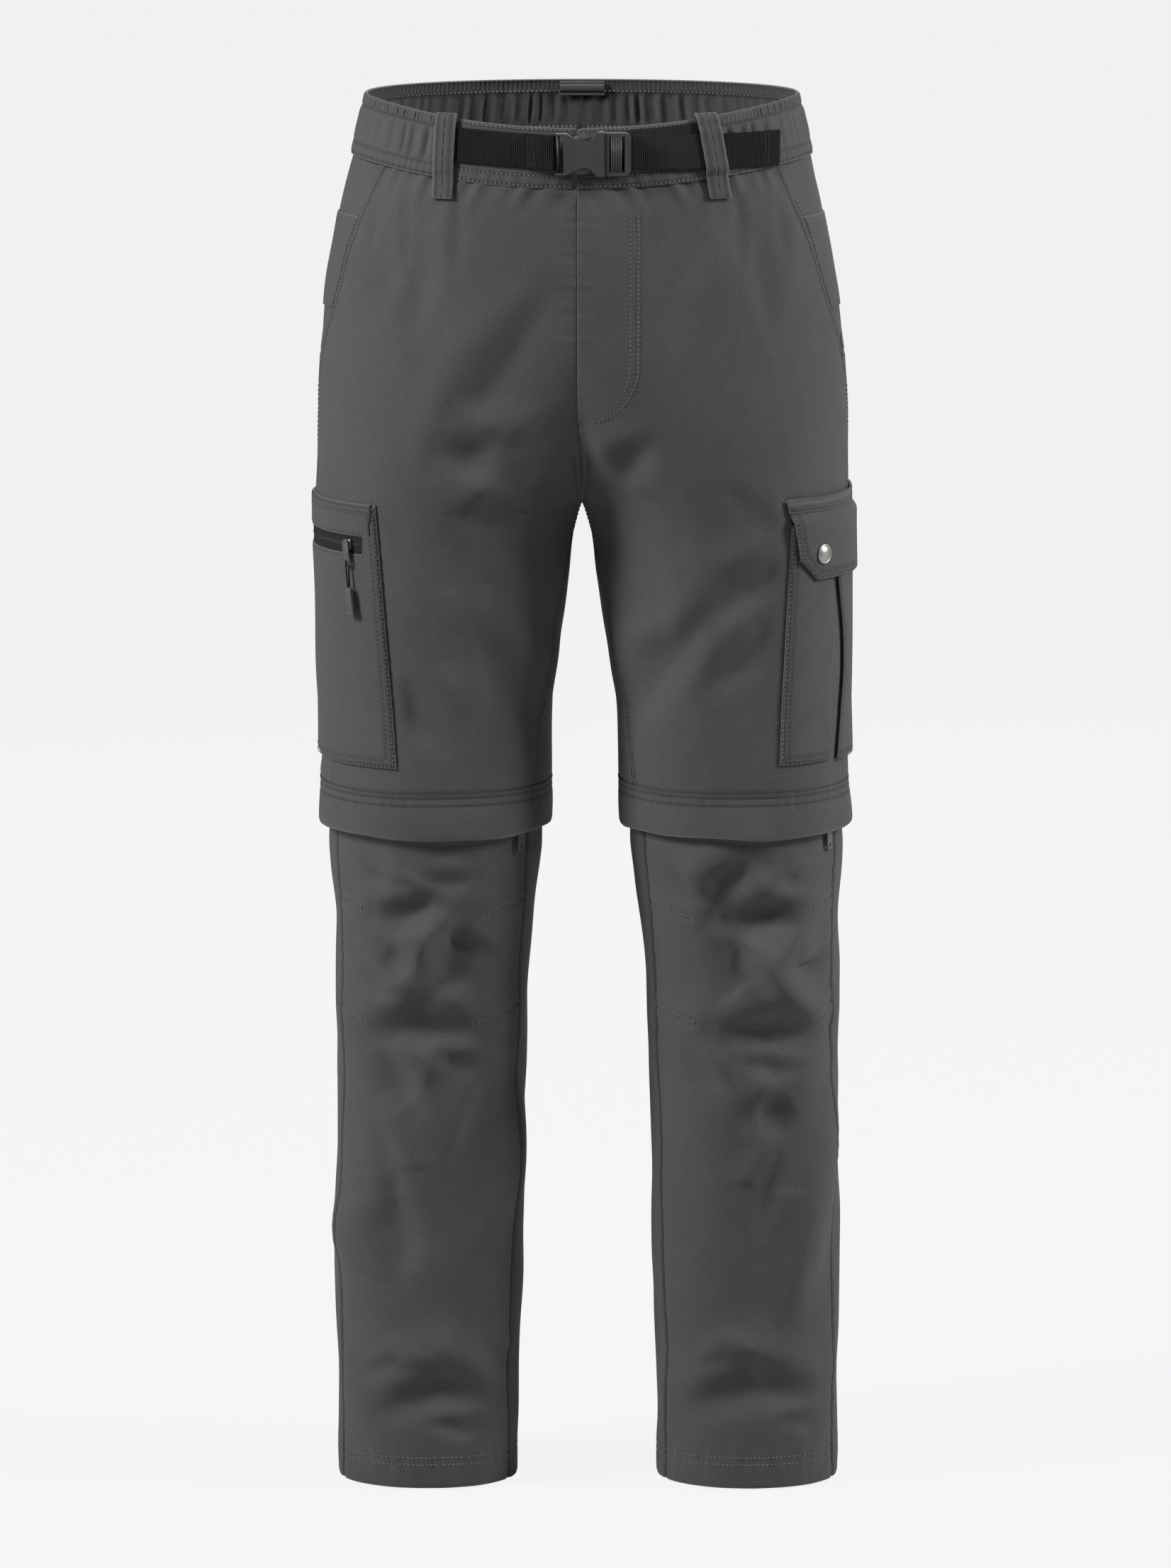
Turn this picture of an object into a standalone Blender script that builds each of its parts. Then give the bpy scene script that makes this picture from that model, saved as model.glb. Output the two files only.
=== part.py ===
"""Convertible zip-off trousers, in the hollow form that they have when worn.

Metres, +Z up, front towards -Y. The wearer's right leg is at -X. The origin is the middle of the
waistband's ring, where the wearer holds the trousers up. Every cloth piece is a wall on one
surface: the form of a leg half, given by its sections, with the folds pressed into it.
"""

import math

import bmesh
import bpy
import numpy as np

# Cloth and seams
WALL = 0.0012
SEAM = 0.0003
BAND_WALL = 0.0020

# Heights
WAIST_TOP_SIDE = 0.024
WAIST_DIP_FRONT = 0.016
BAND_HEIGHT = 0.045
UPPER_END = -0.5080
ZIP_END = -0.5220
HEM = -1.0400

# Form of one half: the leg from its outer side to its inner side. Above the crotch the middle
# moves towards the body's centre plane, and the half is cut off there.
EXPONENT = 2.12
SECTION_COLUMNS = ("z", "outer", "middle", "inner", "front", "back")
SECTIONS = (
    (0.030, 0.1595, 0.0000, -0.1595, 0.109, 0.104),
    (-0.022, 0.1722, 0.0020, -0.1680, 0.114, 0.111),
    (-0.060, 0.1820, 0.0080, -0.1600, 0.118, 0.118),
    (-0.105, 0.1898, 0.0220, -0.1400, 0.120, 0.126),
    (-0.153, 0.1961, 0.0380, -0.1120, 0.120, 0.132),
    (-0.207, 0.2000, 0.0600, -0.0740, 0.117, 0.131),
    (-0.250, 0.2013, 0.0840, -0.0300, 0.112, 0.125),
    (-0.285, 0.2015, 0.1009, 0.0003, 0.106, 0.117),
    (-0.300, 0.2013, 0.1034, 0.0055, 0.104, 0.114),
    (-0.342, 0.2008, 0.1056, 0.0105, 0.101, 0.107),
    (-0.397, 0.2003, 0.1094, 0.0186, 0.098, 0.101),
    (-0.451, 0.1988, 0.1122, 0.0255, 0.096, 0.096),
    (-0.500, 0.1970, 0.1130, 0.0290, 0.095, 0.090),
    (-0.560, 0.1950, 0.1150, 0.0350, 0.093, 0.084),
    (-0.600, 0.1922, 0.1158, 0.0395, 0.091, 0.081),
    (-0.643, 0.1925, 0.1185, 0.0445, 0.088, 0.080),
    (-0.700, 0.1917, 0.1193, 0.0470, 0.083, 0.082),
    (-0.770, 0.1921, 0.1204, 0.0487, 0.077, 0.083),
    (-0.860, 0.1934, 0.1212, 0.0490, 0.071, 0.080),
    (-0.950, 0.1920, 0.1220, 0.0520, 0.066, 0.074),
    (-1.040, 0.1920, 0.1230, 0.0539, 0.062, 0.068),
)

# Both legs lean a little to the viewer's right below the crotch
SWAY = ((-0.28, 0.0), (-0.42, 0.0015), (-0.60, 0.0035), (-0.80, 0.0045), (-1.04, 0.0040))

# Seams round a leg in degrees: 0 is the outer side, 90 the front, 180 the inner side
OUTSEAM = ((0.03, -4), (-0.05, -4), (-0.19, 1), (-0.27, 12), (-0.40, 17), (-0.53, 23), (-0.60, 24),
           (-0.80, 21), (-1.04, 20))
INSEAM = ((-0.285, 180), (-0.32, 170), (-0.37, 162), (-0.45, 156), (-0.53, 150), (-0.60, 152),
          (-0.70, 156), (-0.80, 153), (-0.92, 152), (-1.04, 155))
SLANT = ((0.03, 33), (-0.023, 30), (-0.064, 25.5), (-0.101, 20.5), (-0.150, 12.5), (-0.186, 3.5))
SLANT_END = -0.190
MOUTH_DROP = 0.0024
MOUTH_GAP = 0.0005

# Folds as lines in the front or back view, pressed in along the surface: a negative rise is a
# trough, and width is the distance at which it has faded to about a third
FOLD_COLUMNS = ("half", "face", "x1", "z1", "x2", "z2", "x3", "z3", "rise", "width")
FOLDS = (
    # Wearer's right leg, front: thigh, knee and shin
    (-1, "front", -0.022, -0.118, -0.060, -0.182, -0.100, -0.226, -0.0040, 0.017),
    (-1, "front", -0.100, -0.234, -0.081, -0.236, -0.057, -0.228, -0.0045, 0.015),
    (-1, "front", -0.062, -0.262, -0.080, -0.262, -0.098, -0.256, 0.0030, 0.014),
    (-1, "front", -0.049, -0.277, -0.067, -0.284, -0.086, -0.286, -0.0032, 0.013),
    (-1, "front", -0.042, -0.454, -0.056, -0.415, -0.081, -0.371, -0.0040, 0.017),
    (-1, "front", -0.136, -0.407, -0.123, -0.436, -0.108, -0.457, -0.0038, 0.018),
    (-1, "front", -0.138, -0.060, -0.141, -0.090, -0.145, -0.125, -0.0022, 0.012),
    (-1, "front", -0.116, -0.056, -0.117, -0.099, -0.122, -0.147, -0.0020, 0.013),
    (-1, "front", -0.157, -0.594, -0.134, -0.590, -0.113, -0.581, -0.0040, 0.014),
    (-1, "front", -0.153, -0.618, -0.142, -0.626, -0.133, -0.634, -0.0035, 0.014),
    (-1, "front", -0.088, -0.591, -0.105, -0.630, -0.124, -0.656, -0.0040, 0.015),
    (-1, "front", -0.166, -0.686, -0.127, -0.676, -0.088, -0.682, -0.0045, 0.017),
    (-1, "front", -0.162, -0.699, -0.146, -0.721, -0.132, -0.736, -0.0040, 0.016),
    (-1, "front", -0.048, -0.743, -0.059, -0.791, -0.073, -0.843, 0.0030, 0.016),
    (-1, "front", -0.146, -0.810, -0.146, -0.841, -0.143, -0.871, -0.0035, 0.020),
    (-1, "front", -0.156, -0.981, -0.113, -0.962, -0.071, -0.971, -0.0035, 0.016),
    # Wearer's left leg, front
    (1, "front", 0.047, -0.231, 0.038, -0.245, 0.028, -0.258, -0.0040, 0.013),
    (1, "front", 0.149, -0.323, 0.116, -0.347, 0.087, -0.370, -0.0040, 0.016),
    (1, "front", 0.087, -0.371, 0.058, -0.402, 0.042, -0.437, -0.0045, 0.016),
    (1, "front", 0.146, -0.361, 0.122, -0.391, 0.098, -0.417, -0.0038, 0.015),
    (1, "front", 0.132, -0.057, 0.136, -0.095, 0.140, -0.137, -0.0022, 0.012),
    (1, "front", 0.073, -0.056, 0.076, -0.098, 0.073, -0.145, -0.0020, 0.014),
    (1, "front", 0.125, -0.552, 0.106, -0.572, 0.097, -0.588, -0.0045, 0.015),
    (1, "front", 0.099, -0.592, 0.127, -0.594, 0.159, -0.589, -0.0045, 0.014),
    (1, "front", 0.169, -0.589, 0.138, -0.630, 0.169, -0.670, 0.0035, 0.014),
    (1, "front", 0.098, -0.681, 0.142, -0.684, 0.180, -0.690, -0.0045, 0.016),
    (1, "front", 0.156, -0.737, 0.142, -0.746, 0.127, -0.748, -0.0038, 0.016),
    (1, "front", 0.186, -0.745, 0.173, -0.810, 0.156, -0.900, 0.0034, 0.018),
    (1, "front", 0.077, -0.980, 0.125, -0.960, 0.175, -0.969, -0.0035, 0.016),
    # Backs: seat, hollow of the knee, calf and hem on each leg
    (-1, "back", -0.040, -0.225, -0.085, -0.262, -0.140, -0.275, -0.0045, 0.020),
    (-1, "back", -0.050, -0.345, -0.105, -0.375, -0.160, -0.370, -0.0040, 0.020),
    (-1, "back", -0.150, -0.590, -0.110, -0.605, -0.060, -0.595, -0.0055, 0.019),
    (-1, "back", -0.155, -0.650, -0.105, -0.660, -0.060, -0.640, -0.0050, 0.019),
    (-1, "back", -0.070, -0.760, -0.110, -0.810, -0.150, -0.850, -0.0040, 0.020),
    (-1, "back", -0.155, -0.965, -0.115, -0.985, -0.075, -0.965, -0.0035, 0.018),
    (1, "back", 0.045, -0.230, 0.095, -0.258, 0.145, -0.280, -0.0045, 0.020),
    (1, "back", 0.055, -0.360, 0.110, -0.380, 0.165, -0.360, -0.0040, 0.020),
    (1, "back", 0.155, -0.585, 0.115, -0.600, 0.065, -0.598, -0.0055, 0.019),
    (1, "back", 0.160, -0.640, 0.110, -0.658, 0.065, -0.648, -0.0050, 0.019),
    (1, "back", 0.150, -0.745, 0.115, -0.800, 0.080, -0.850, -0.0040, 0.020),
    (1, "back", 0.160, -0.960, 0.120, -0.982, 0.080, -0.968, -0.0035, 0.018),
)

# Waistband, whose front closes a little to the viewer's left of the centre
CENTRE_SHIFT = -0.0035
LOOP_X = 0.098
LOOP_WIDTH = 0.0150
LOOP_HANG = 0.0150
GATHERS_A_SIDE = 26
GATHER_RISE = 0.0008
PATCH_WIDTH = 0.0340
PATCH_HEIGHT = 0.0110

# Belt: 26 mm webbing with a side-release buckle
WEBBING = 0.0260
WEBBING_THICK = 0.0014
BELT_LIFT = 0.0018
BUCKLE_HEIGHT = 0.0335
BUCKLE_DEPTH = 0.0080
SOCKET_X = (-0.0195, 0.0168)
INSERT_X = (0.0172, 0.0360)
STRAP_END_X = 0.1450

# Zip-off opening and its storm flap
FLAP_TOP = -0.4955
FLAP_EDGE = -0.5300
FLAP_ROWS = (
    # height, distance that the flap stands off the leg
    (FLAP_TOP, 0.0009),
    (-0.5020, 0.0009),
    (-0.5080, 0.0016),
    (-0.5160, 0.0036),
    (FLAP_EDGE, 0.0043),
)
FLAP_THICK = 0.0010
SHIN_DROP = 0.0022
PULL_WIDTH = 0.0070
PULL_LENGTH = 0.0280
PULL_THICK = 0.0008
PULL_TOP = -0.5170
LEG_PULL_X = {"right": 0.0500, "left": 0.1835}

# Pockets on the thighs
POCKET_TOP = -0.2770
POCKET_END = -0.4770
POCKET_REAR = -38.0
POCKET_LIFT = 0.0009
POCKET_THICK = 0.0024
ZIP_POCKET_X = (0.1540, 0.1404)
WINDOW = (-0.3020, -0.3150)
WINDOW_END_X = 0.1635
BAG_X = (0.1575, 0.1455)
PLEAT = ((-0.29, 0.1865), (-0.336, 0.1885), (-0.379, 0.1903), (-0.42, 0.1890), (-0.477, 0.1840))
PLEAT_GAP = ((-0.29, 0.0010), (-0.35, 0.0022), (-0.41, 0.0045), (-0.477, 0.0024))
FLAP_SEAM = -0.2820
FLAP_FRONT = ((-0.276, 0.1535), (-0.282, 0.1545), (-0.3190, 0.1605))
FLAP_CORNER = (0.1725, -0.3355)
SNAP = (0.1765, -0.3159)
SNAP_RADIUS = 0.0075

# Pull on the zip pocket: tab, cord loop and grip
PULL_X = 0.1735
PULL_Z = -0.3045
PULL_LIFT = 0.0062
TAB_LENGTH = 0.0200
TAB_WIDTH = 0.0066
CORD_RADIUS = 0.0006
GRIP_TOP = -0.3410
GRIP_END = -0.3615
GRIP_WIDTH = 0.0080
PULL_LEAN = 0.0062


def smooth(value):
    value = np.clip(value, 0.0, 1.0)
    return value * value * (3 - 2 * value)


def along(table, z, column=1):
    """A column of a table at height z, on a smooth curve through its rows."""
    rows = np.array(table, float)[::-1]
    heights, values = rows[:, 0], rows[:, column]
    slopes = np.gradient(values, heights)
    z = np.clip(z, heights[0], heights[-1])
    row = np.clip(np.searchsorted(heights, z) - 1, 0, len(heights) - 2)
    gap = heights[row + 1] - heights[row]
    t = (z - heights[row]) / gap
    start = (2 * t**3 - 3 * t**2 + 1) * values[row] + (t**3 - 2 * t**2 + t) * gap * slopes[row]
    end = (3 * t**2 - 2 * t**3) * values[row + 1] + (t**3 - t**2) * gap * slopes[row + 1]
    return start + end


def section(z):
    return {name: along(SECTIONS, z, i) for i, name in enumerate(SECTION_COLUMNS) if i}


def power(value):
    return np.sign(value) * np.abs(value) ** (2 / EXPONENT)


def form(t, z):
    """Points (x outwards, y, z) of a half at t degrees and height z, before its folds."""
    size = section(z)
    cos, sin = power(np.cos(np.radians(t))), power(np.sin(np.radians(t)))
    reach = np.where(cos > 0, size["outer"] - size["middle"], size["middle"] - size["inner"])
    depth = np.where(sin > 0, size["front"], size["back"])
    return np.stack([size["middle"] + reach * cos, -depth * sin, z + 0 * t], axis=-1)


def outward(t, z):
    """The form's outward normals."""
    step_t, step_z = 0.6, 0.002
    round_it = form(t + step_t, z) - form(t - step_t, z)
    down_it = form(t, z - step_z) - form(t, z + step_z)
    normal = np.cross(down_it, round_it)
    normal /= np.linalg.norm(normal, axis=-1, keepdims=True)
    return np.where(np.sum(normal * toward(t), axis=-1, keepdims=True) < 0, -normal, normal)


def toward(t):
    t = np.radians(t)
    return np.stack([np.cos(t), -np.sin(t), 0 * t], axis=-1)


def pressed(half, points, t):
    """How far the folds lift each point, in metres. The cloth stays smooth under its pocket."""
    x, z = half * points[..., 0], points[..., 2]
    rise = np.zeros_like(x)
    top, end = ZIP_POCKET_X if half < 0 else BAG_X
    pocket = top + (end - top) * (POCKET_TOP - z) / (POCKET_TOP - POCKET_END) - 0.002
    clear = np.maximum(smooth((pocket - points[..., 0]) / 0.014),
                       np.maximum(smooth((z - POCKET_TOP) / 0.014),
                                  smooth((POCKET_END - 0.004 - z) / 0.012)))
    front = smooth(np.sin(np.radians(t)) * 3.0)
    back = smooth(-np.sin(np.radians(t)) * 3.0)
    for fold in FOLDS:
        row = dict(zip(FOLD_COLUMNS, fold))
        if row["half"] != half:
            continue
        near = np.full(x.shape, 1.0)
        for a, b in (("1", "2"), ("2", "3")):
            start = np.array([row["x" + a], row["z" + a]])
            run = np.array([row["x" + b], row["z" + b]]) - start
            part = ((x - start[0]) * run[0] + (z - start[1]) * run[1]) / run.dot(run)
            part = np.clip(part, 0, 1)
            near = np.minimum(near, np.hypot(x - start[0] - part * run[0], z - start[1] - part * run[1]))
        face = front if row["face"] == "front" else back
        rise += face * row["rise"] * np.exp(-((near / row["width"]) ** 2))
    return rise * clear


def skin(half, t, z, lift):
    """World points on a half, lift metres outside the cloth's outer face."""
    t, z = np.broadcast_arrays(np.asarray(t, float), np.asarray(z, float))
    points = form(t, z)
    rise = pressed(half, points, t) + lift
    points = points + outward(t, z) * np.asarray(rise)[..., None]
    points[..., 0] = np.maximum(points[..., 0], SEAM / 2) * half + along(SWAY, z)
    shift = smooth(np.sin(np.radians(t))) ** 3 * smooth((z + 0.27) / 0.07)
    points[..., 0] += CENTRE_SHIFT * shift
    return points


def centre(z, face):
    """The angle at which a half meets the centre plane, or the inseam below the crotch."""
    size = section(z)
    ratio = np.clip(size["middle"] / (size["middle"] - size["inner"]), 0, 1)
    angle = np.degrees(np.arccos(-(ratio ** (EXPONENT / 2))))
    inseam = np.where(z < INSEAM[0][0], along(INSEAM, z), 180.0)
    if face == "front":
        return np.where(ratio >= 1, inseam - seam_gap(z), np.minimum(angle, 180 - seam_gap(z)))
    return np.where(ratio >= 1, inseam + seam_gap(z), np.maximum(360 - angle, 180 + seam_gap(z)))


def seam_gap(z):
    return SEAM / 2 / girth(z)


def band_top(t):
    front = np.clip(np.sin(np.radians(t)), 0, 1) ** 2.6
    return WAIST_TOP_SIDE - WAIST_DIP_FRONT * front


def front_x(half_x, z):
    """The angle at which the front of a half lies half_x metres from the centre plane."""
    size = section(z)
    offset = half_x - size["middle"]
    reach = np.where(offset > 0, size["outer"] - size["middle"], size["middle"] - size["inner"])
    ratio = np.clip(offset / reach, -1, 1)
    return np.degrees(np.arccos(np.sign(ratio) * np.abs(ratio) ** (EXPONENT / 2)))


def girth(z):
    """Metres round the outer side for each degree."""
    return (section(z)["front"] + section(z)["back"]) * math.pi / 360


MATERIALS = {}


def finish(name, colour, roughness, metallic=0.0):
    material = bpy.data.materials.new(name)
    material.use_nodes = True
    shader = material.node_tree.nodes["Principled BSDF"]
    shader.inputs["Base Color"].default_value = (*colour, 1)
    shader.inputs["Roughness"].default_value = roughness
    shader.inputs["Metallic"].default_value = metallic
    MATERIALS[name] = material


def add_object(name, bm, material):
    bmesh.ops.recalc_face_normals(bm, faces=bm.faces)
    if bm.calc_volume(signed=True) < 0:
        bmesh.ops.reverse_faces(bm, faces=bm.faces)
    mesh = bpy.data.meshes.new(name)
    bm.to_mesh(mesh)
    bm.free()
    mesh.shade_smooth()
    mesh.set_sharp_from_angle(angle=math.radians(40))
    mesh.materials.append(MATERIALS[material])
    obj = bpy.data.objects.new(name, mesh)
    bpy.context.scene.collection.objects.link(obj)
    return obj


def add_grid(bm, points):
    rows, columns = points.shape[:2]
    made = bmesh.ops.create_grid(bm, x_segments=columns - 1, y_segments=rows - 1, size=1)
    for vertex, point in zip(made["verts"], points.reshape(-1, 3)):
        vertex.co = point
    return [made["verts"][row * columns:(row + 1) * columns] for row in range(rows)]


def wall(name, outer, inner, material="cloth", tube=False):
    """A closed solid between two grids of points. A tube's last column lies on its first."""
    bm = bmesh.new()
    outside, inside = add_grid(bm, outer), add_grid(bm, inner)
    rows, columns = outer.shape[:2]
    if tube:
        edges = [[(r, c) for c in range(columns)] for r in (0, rows - 1)]
    else:
        loop = [(0, c) for c in range(columns)] + [(r, columns - 1) for r in range(1, rows)]
        loop += [(rows - 1, c) for c in range(columns - 2, -1, -1)]
        loop += [(r, 0) for r in range(rows - 2, -1, -1)]
        edges = [loop]
    for line in edges:
        for (r1, c1), (r2, c2) in zip(line, line[1:]):
            bm.faces.new((outside[r1][c1], outside[r2][c2], inside[r2][c2], inside[r1][c1]))
    if tube:
        bmesh.ops.remove_doubles(bm, verts=bm.verts, dist=1e-6)
    return add_object(name, bm, material)


def on_skin(name, half, t, z, low, high, material="cloth", tube=False):
    """A piece that follows the cloth, from low to high metres outside its outer face."""
    return wall(name, skin(half, t, z, high), skin(half, t, z, low), material, tube)


def panel_grid(rows, columns, end, t_start, t_end):
    """Angles and heights of a panel between two seams given as functions of height. Its top edge
    follows the waistband, and its rows are level from the crotch down, so seams match."""
    u = np.linspace(0, 1, columns)[None, :]
    v = np.linspace(0, 1, rows)[:, None] if np.isscalar(rows) else np.array(rows)[:, None]
    level = below_band(0.0) * (1 - v) + end * v + 0 * u
    z = level
    for _ in range(3):
        t = t_start(z) * (1 - u) + t_end(z) * u
        z = level + (below_band(t[0:1]) - below_band(0.0)) * np.clip(1 - v / 0.4, 0, 1) ** 2
    return t_start(z) * (1 - u) + t_end(z) * u, z


SIDES = (("right", -1), ("left", 1))
PANEL_ROWS = (0, 0.05, 0.10, 0.15, 0.20, 0.25, 0.30, 0.345, 0.39, 0.43, 0.465, 0.495, 0.52, 0.537,
              0.553, 0.575, 0.61, 0.655, 0.70, 0.75, 0.80, 0.85, 0.90, 0.95, 1)


def front_edge(z):
    """The front panel's outer edge: the slanted pocket mouth, and the outseam below it."""
    slanted = z > SLANT_END
    return np.where(slanted, along(SLANT, z), along(OUTSEAM, z) + seam_gap(z))


def below_band(t):
    return band_top(t) - BAND_HEIGHT - SEAM


def upper_panels():
    for side, half in SIDES:
        t, z = panel_grid(PANEL_ROWS, 11, UPPER_END, front_edge,
                          lambda z: centre(z, "front"))
        on_skin(f"front_panel_{side}", half, t, z, -WALL, 0)
        t, z = panel_grid(PANEL_ROWS, 12, UPPER_END,
                          lambda z: along(OUTSEAM, z) - seam_gap(z),
                          lambda z: centre(z, "back") - 360)
        on_skin(f"back_panel_{side}", half, t, z, -WALL, 0)


def mouth_drop(t, z):
    """How far the piece in a slanted pocket mouth lies below the panels."""
    lower = smooth((t - along(OUTSEAM, z)) / (along(SLANT, z) - along(OUTSEAM, z)))
    return MOUTH_DROP * np.maximum(lower, smooth((-0.145 - z) / 0.02))


def hip_pieces():
    """The piece under each slanted pocket mouth, and the small pocket that lies on it."""
    for side, half in SIDES:
        t, z = panel_grid(10, 6, SLANT_END, lambda z: along(OUTSEAM, z) + seam_gap(z),
                          lambda z: along(SLANT, z) + 3.5)
        drop = -mouth_drop(t, z)
        on_skin(f"hip_facing_{side}", half, t, z, drop - WALL, drop)
        z = np.linspace(-0.064, -0.135, 5)[:, None]
        u = np.linspace(0, 1, 4)[None, :]
        t = (along(OUTSEAM, z) + 5.5) * (1 - u) + (along(SLANT, z) - 1.0) * u
        lift = MOUTH_GAP - mouth_drop(t, z)
        on_skin(f"hip_pocket_{side}", half, t, z, lift, lift + 0.0009)


def shin_panels():
    for side, half in SIDES:
        u = np.linspace(0, 1, 9)[None, :]
        z = np.linspace(ZIP_END - SEAM, HEM, 21)[:, None] + 0 * u
        gap = seam_gap(z)
        drop = -SHIN_DROP * (1 - smooth((ZIP_END - z) / 0.03))
        t = (along(OUTSEAM, z) + gap) * (1 - u) + (along(INSEAM, z) - gap) * u
        on_skin(f"shin_front_{side}", half, t, z, drop - WALL, drop)
        t = (along(OUTSEAM, z) - gap) * (1 - u) + (along(INSEAM, z) - 360 + gap) * u
        on_skin(f"shin_back_{side}", half, t, z, drop - WALL, drop)


def zips_and_storm_flaps():
    for side, half in SIDES:
        t = np.linspace(0, 360, 33)[None, :]
        z = np.array([UPPER_END - SEAM, ZIP_END])[:, None] + 0 * t
        low = np.array([[-0.0022], [-SHIN_DROP - WALL]]) + 0 * t
        high = np.array([[-0.0004], [-0.0012]]) + 0 * t
        on_skin(f"leg_zip_{side}", half, t, z, low, high, "zip_tape", True)
        t = np.linspace(0, 360, 41)[None, :]
        z = np.array([row[0] for row in FLAP_ROWS])[:, None] + 0 * t
        stand = np.array([row[1] for row in FLAP_ROWS])[:, None] + 0 * t
        on_skin(f"storm_flap_{side}", half, t, z, stand, stand + FLAP_THICK, "cloth", True)


def waistband():
    for side, half in SIDES:
        height = np.linspace(0, 1, 4)[:, None]
        loop_t = front_x(LOOP_X, -0.02)
        t = np.linspace(90.0, loop_t + 0.15, 8)[None, :] + 0 * height
        z = band_top(t) - BAND_HEIGHT * height
        t = np.where(t == 90.0, centre(z, "front"), t)
        on_skin(f"waistband_front_{side}", half, t, z, -BAND_WALL / 2, BAND_WALL / 2)
        height = np.linspace(0, 1, 3)[:, None]
        u = np.linspace(0, 1, GATHERS_A_SIDE * 3 + 1)[None, :]
        t = (loop_t - 0.15) * (1 - u) - 90.0 * u + 0 * height
        z = band_top(t) - BAND_HEIGHT * height
        t = np.where(u == 1, centre(z, "back") - 360, t)
        wave = np.cos(2 * np.pi * u * GATHERS_A_SIDE * 0.98) * smooth(u * 12) * smooth((1 - u) * 20)
        rise = GATHER_RISE * wave
        on_skin(f"waistband_back_{side}", half, t, z, rise - 0.0008, rise + 0.0008)


def back_patch():
    """The small rectangle sewn inside the waistband at the centre back."""
    x = np.linspace(-PATCH_WIDTH / 2, PATCH_WIDTH / 2, 7)[None, :]
    z = np.array([[WAIST_TOP_SIDE - 0.001], [WAIST_TOP_SIDE - 0.001 - PATCH_HEIGHT]]) + 0 * x
    depth = skin(1, 360 - front_x(np.abs(x), z), z, -BAND_WALL / 2 - GATHER_RISE - SEAM)[..., 1]
    inner = np.stack([x + 0 * z, depth - 0.0008, z], axis=-1)
    wall("back_patch", inner, inner + [0, 0.0008, 0])


def strip(name, half, xs, centre_z, width, low, thick, material="webbing"):
    """A strap across the front, through points (distance from the centre, height, lift)."""
    xs, centre_z, low = (np.asarray(value, float)[None, :] for value in (xs, centre_z, low))
    z = centre_z + np.array([[width / 2], [0], [-width / 2]])
    t = front_x(xs + 0 * z, z)
    return on_skin(name, half, t, z, low + 0 * z, low + 0 * z + thick, material)


def belt_loops():
    rows = np.array([0.0165, 0.0132, 0.0075, 0.0040, -0.0050, -0.0140, -0.0250, -0.0290])
    rows = np.append(rows, -0.0310 - LOOP_HANG)[:, None]
    lift = {"right": [0.0014, 0.0030, 0.0038, 0.0038, 0.0038, 0.0038, 0.0034, 0.0018, 0.0014],
            "left": [0.0014, 0.0038, 0.0046, 0.0058, 0.0058, 0.0058, 0.0058, 0.0022, 0.0014]}
    lean = {"right": (-0.0016, 0.0020), "left": (-0.0045, 0.0068)}
    for side, half in SIDES:
        across = np.linspace(-LOOP_WIDTH / 2, LOOP_WIDTH / 2, 3)[None, :]
        start, end = lean[side]
        slope = np.linspace(start, end, len(rows))[:, None]
        low = np.array(lift[side])[:, None] + 0 * across
        t = front_x(LOOP_X + across + slope, rows)
        on_skin(f"belt_loop_{side}", half, t, rows + 0 * t, low, low + 0.0012)


def belt():
    xs = np.linspace(0.022, LOOP_X + 0.006, 9)
    strip("belt_strap_short", -1, xs, -0.0105 + 0.0053 * (xs - 0.02) / 0.08, WEBBING, BELT_LIFT + 0 * xs,
          WEBBING_THICK)
    xs = np.linspace(0.0365, LOOP_X + 0.006, 9)
    strip("belt_strap_under", 1, xs, -0.0080 + 0.0060 * (xs - 0.03) / 0.07, WEBBING,
          BELT_LIFT + 0 * xs, WEBBING_THICK)
    xs = np.linspace(0.0365, STRAP_END_X, 13)
    tip = smooth((xs - STRAP_END_X + 0.016) / 0.004)
    low = BELT_LIFT + WEBBING_THICK + 0.0004
    strip("belt_strap_long", 1, xs, -0.0105 - 0.0013 * (xs - 0.03) / 0.11, WEBBING,
          low - 0.0008 * tip, WEBBING_THICK + 0.0006 * tip)


def slab(name, outline, holes, y_back, depth, material, bevel=0.0008):
    """A plate in the front plane: an outline of (x, z) with holes cut through."""
    bm = bmesh.new()
    ring = [bm.verts.new((x, y_back, z)) for x, z in outline]
    face = bm.faces.new(ring)
    made = bmesh.ops.extrude_face_region(bm, geom=[face])
    moved = [item for item in made["geom"] if isinstance(item, bmesh.types.BMVert)]
    bmesh.ops.translate(bm, verts=moved, vec=(0, -depth, 0))
    obj = add_object(name, bm, material)
    if bevel:
        soft = obj.modifiers.new("soft edges", "BEVEL")
        soft.width = bevel
        soft.segments = 1
        soft.angle_limit = math.radians(60)
        soft.limit_method = "ANGLE"
    for number, (x1, z1, x2, z2) in enumerate(holes):
        cutter_bm = bmesh.new()
        bmesh.ops.create_cube(cutter_bm, size=1)
        bmesh.ops.scale(cutter_bm, vec=(x2 - x1, depth * 3, z2 - z1), verts=cutter_bm.verts)
        bmesh.ops.translate(cutter_bm, vec=((x1 + x2) / 2, y_back - depth / 2, (z1 + z2) / 2),
                            verts=cutter_bm.verts)
        cutter = add_object(f"{name}_cutter_{number}", cutter_bm, material)
        cutter.hide_render = True
        cutter.display_type = "WIRE"
        cut = obj.modifiers.new("slot", "BOOLEAN")
        cut.object = cutter
    return obj


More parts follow.
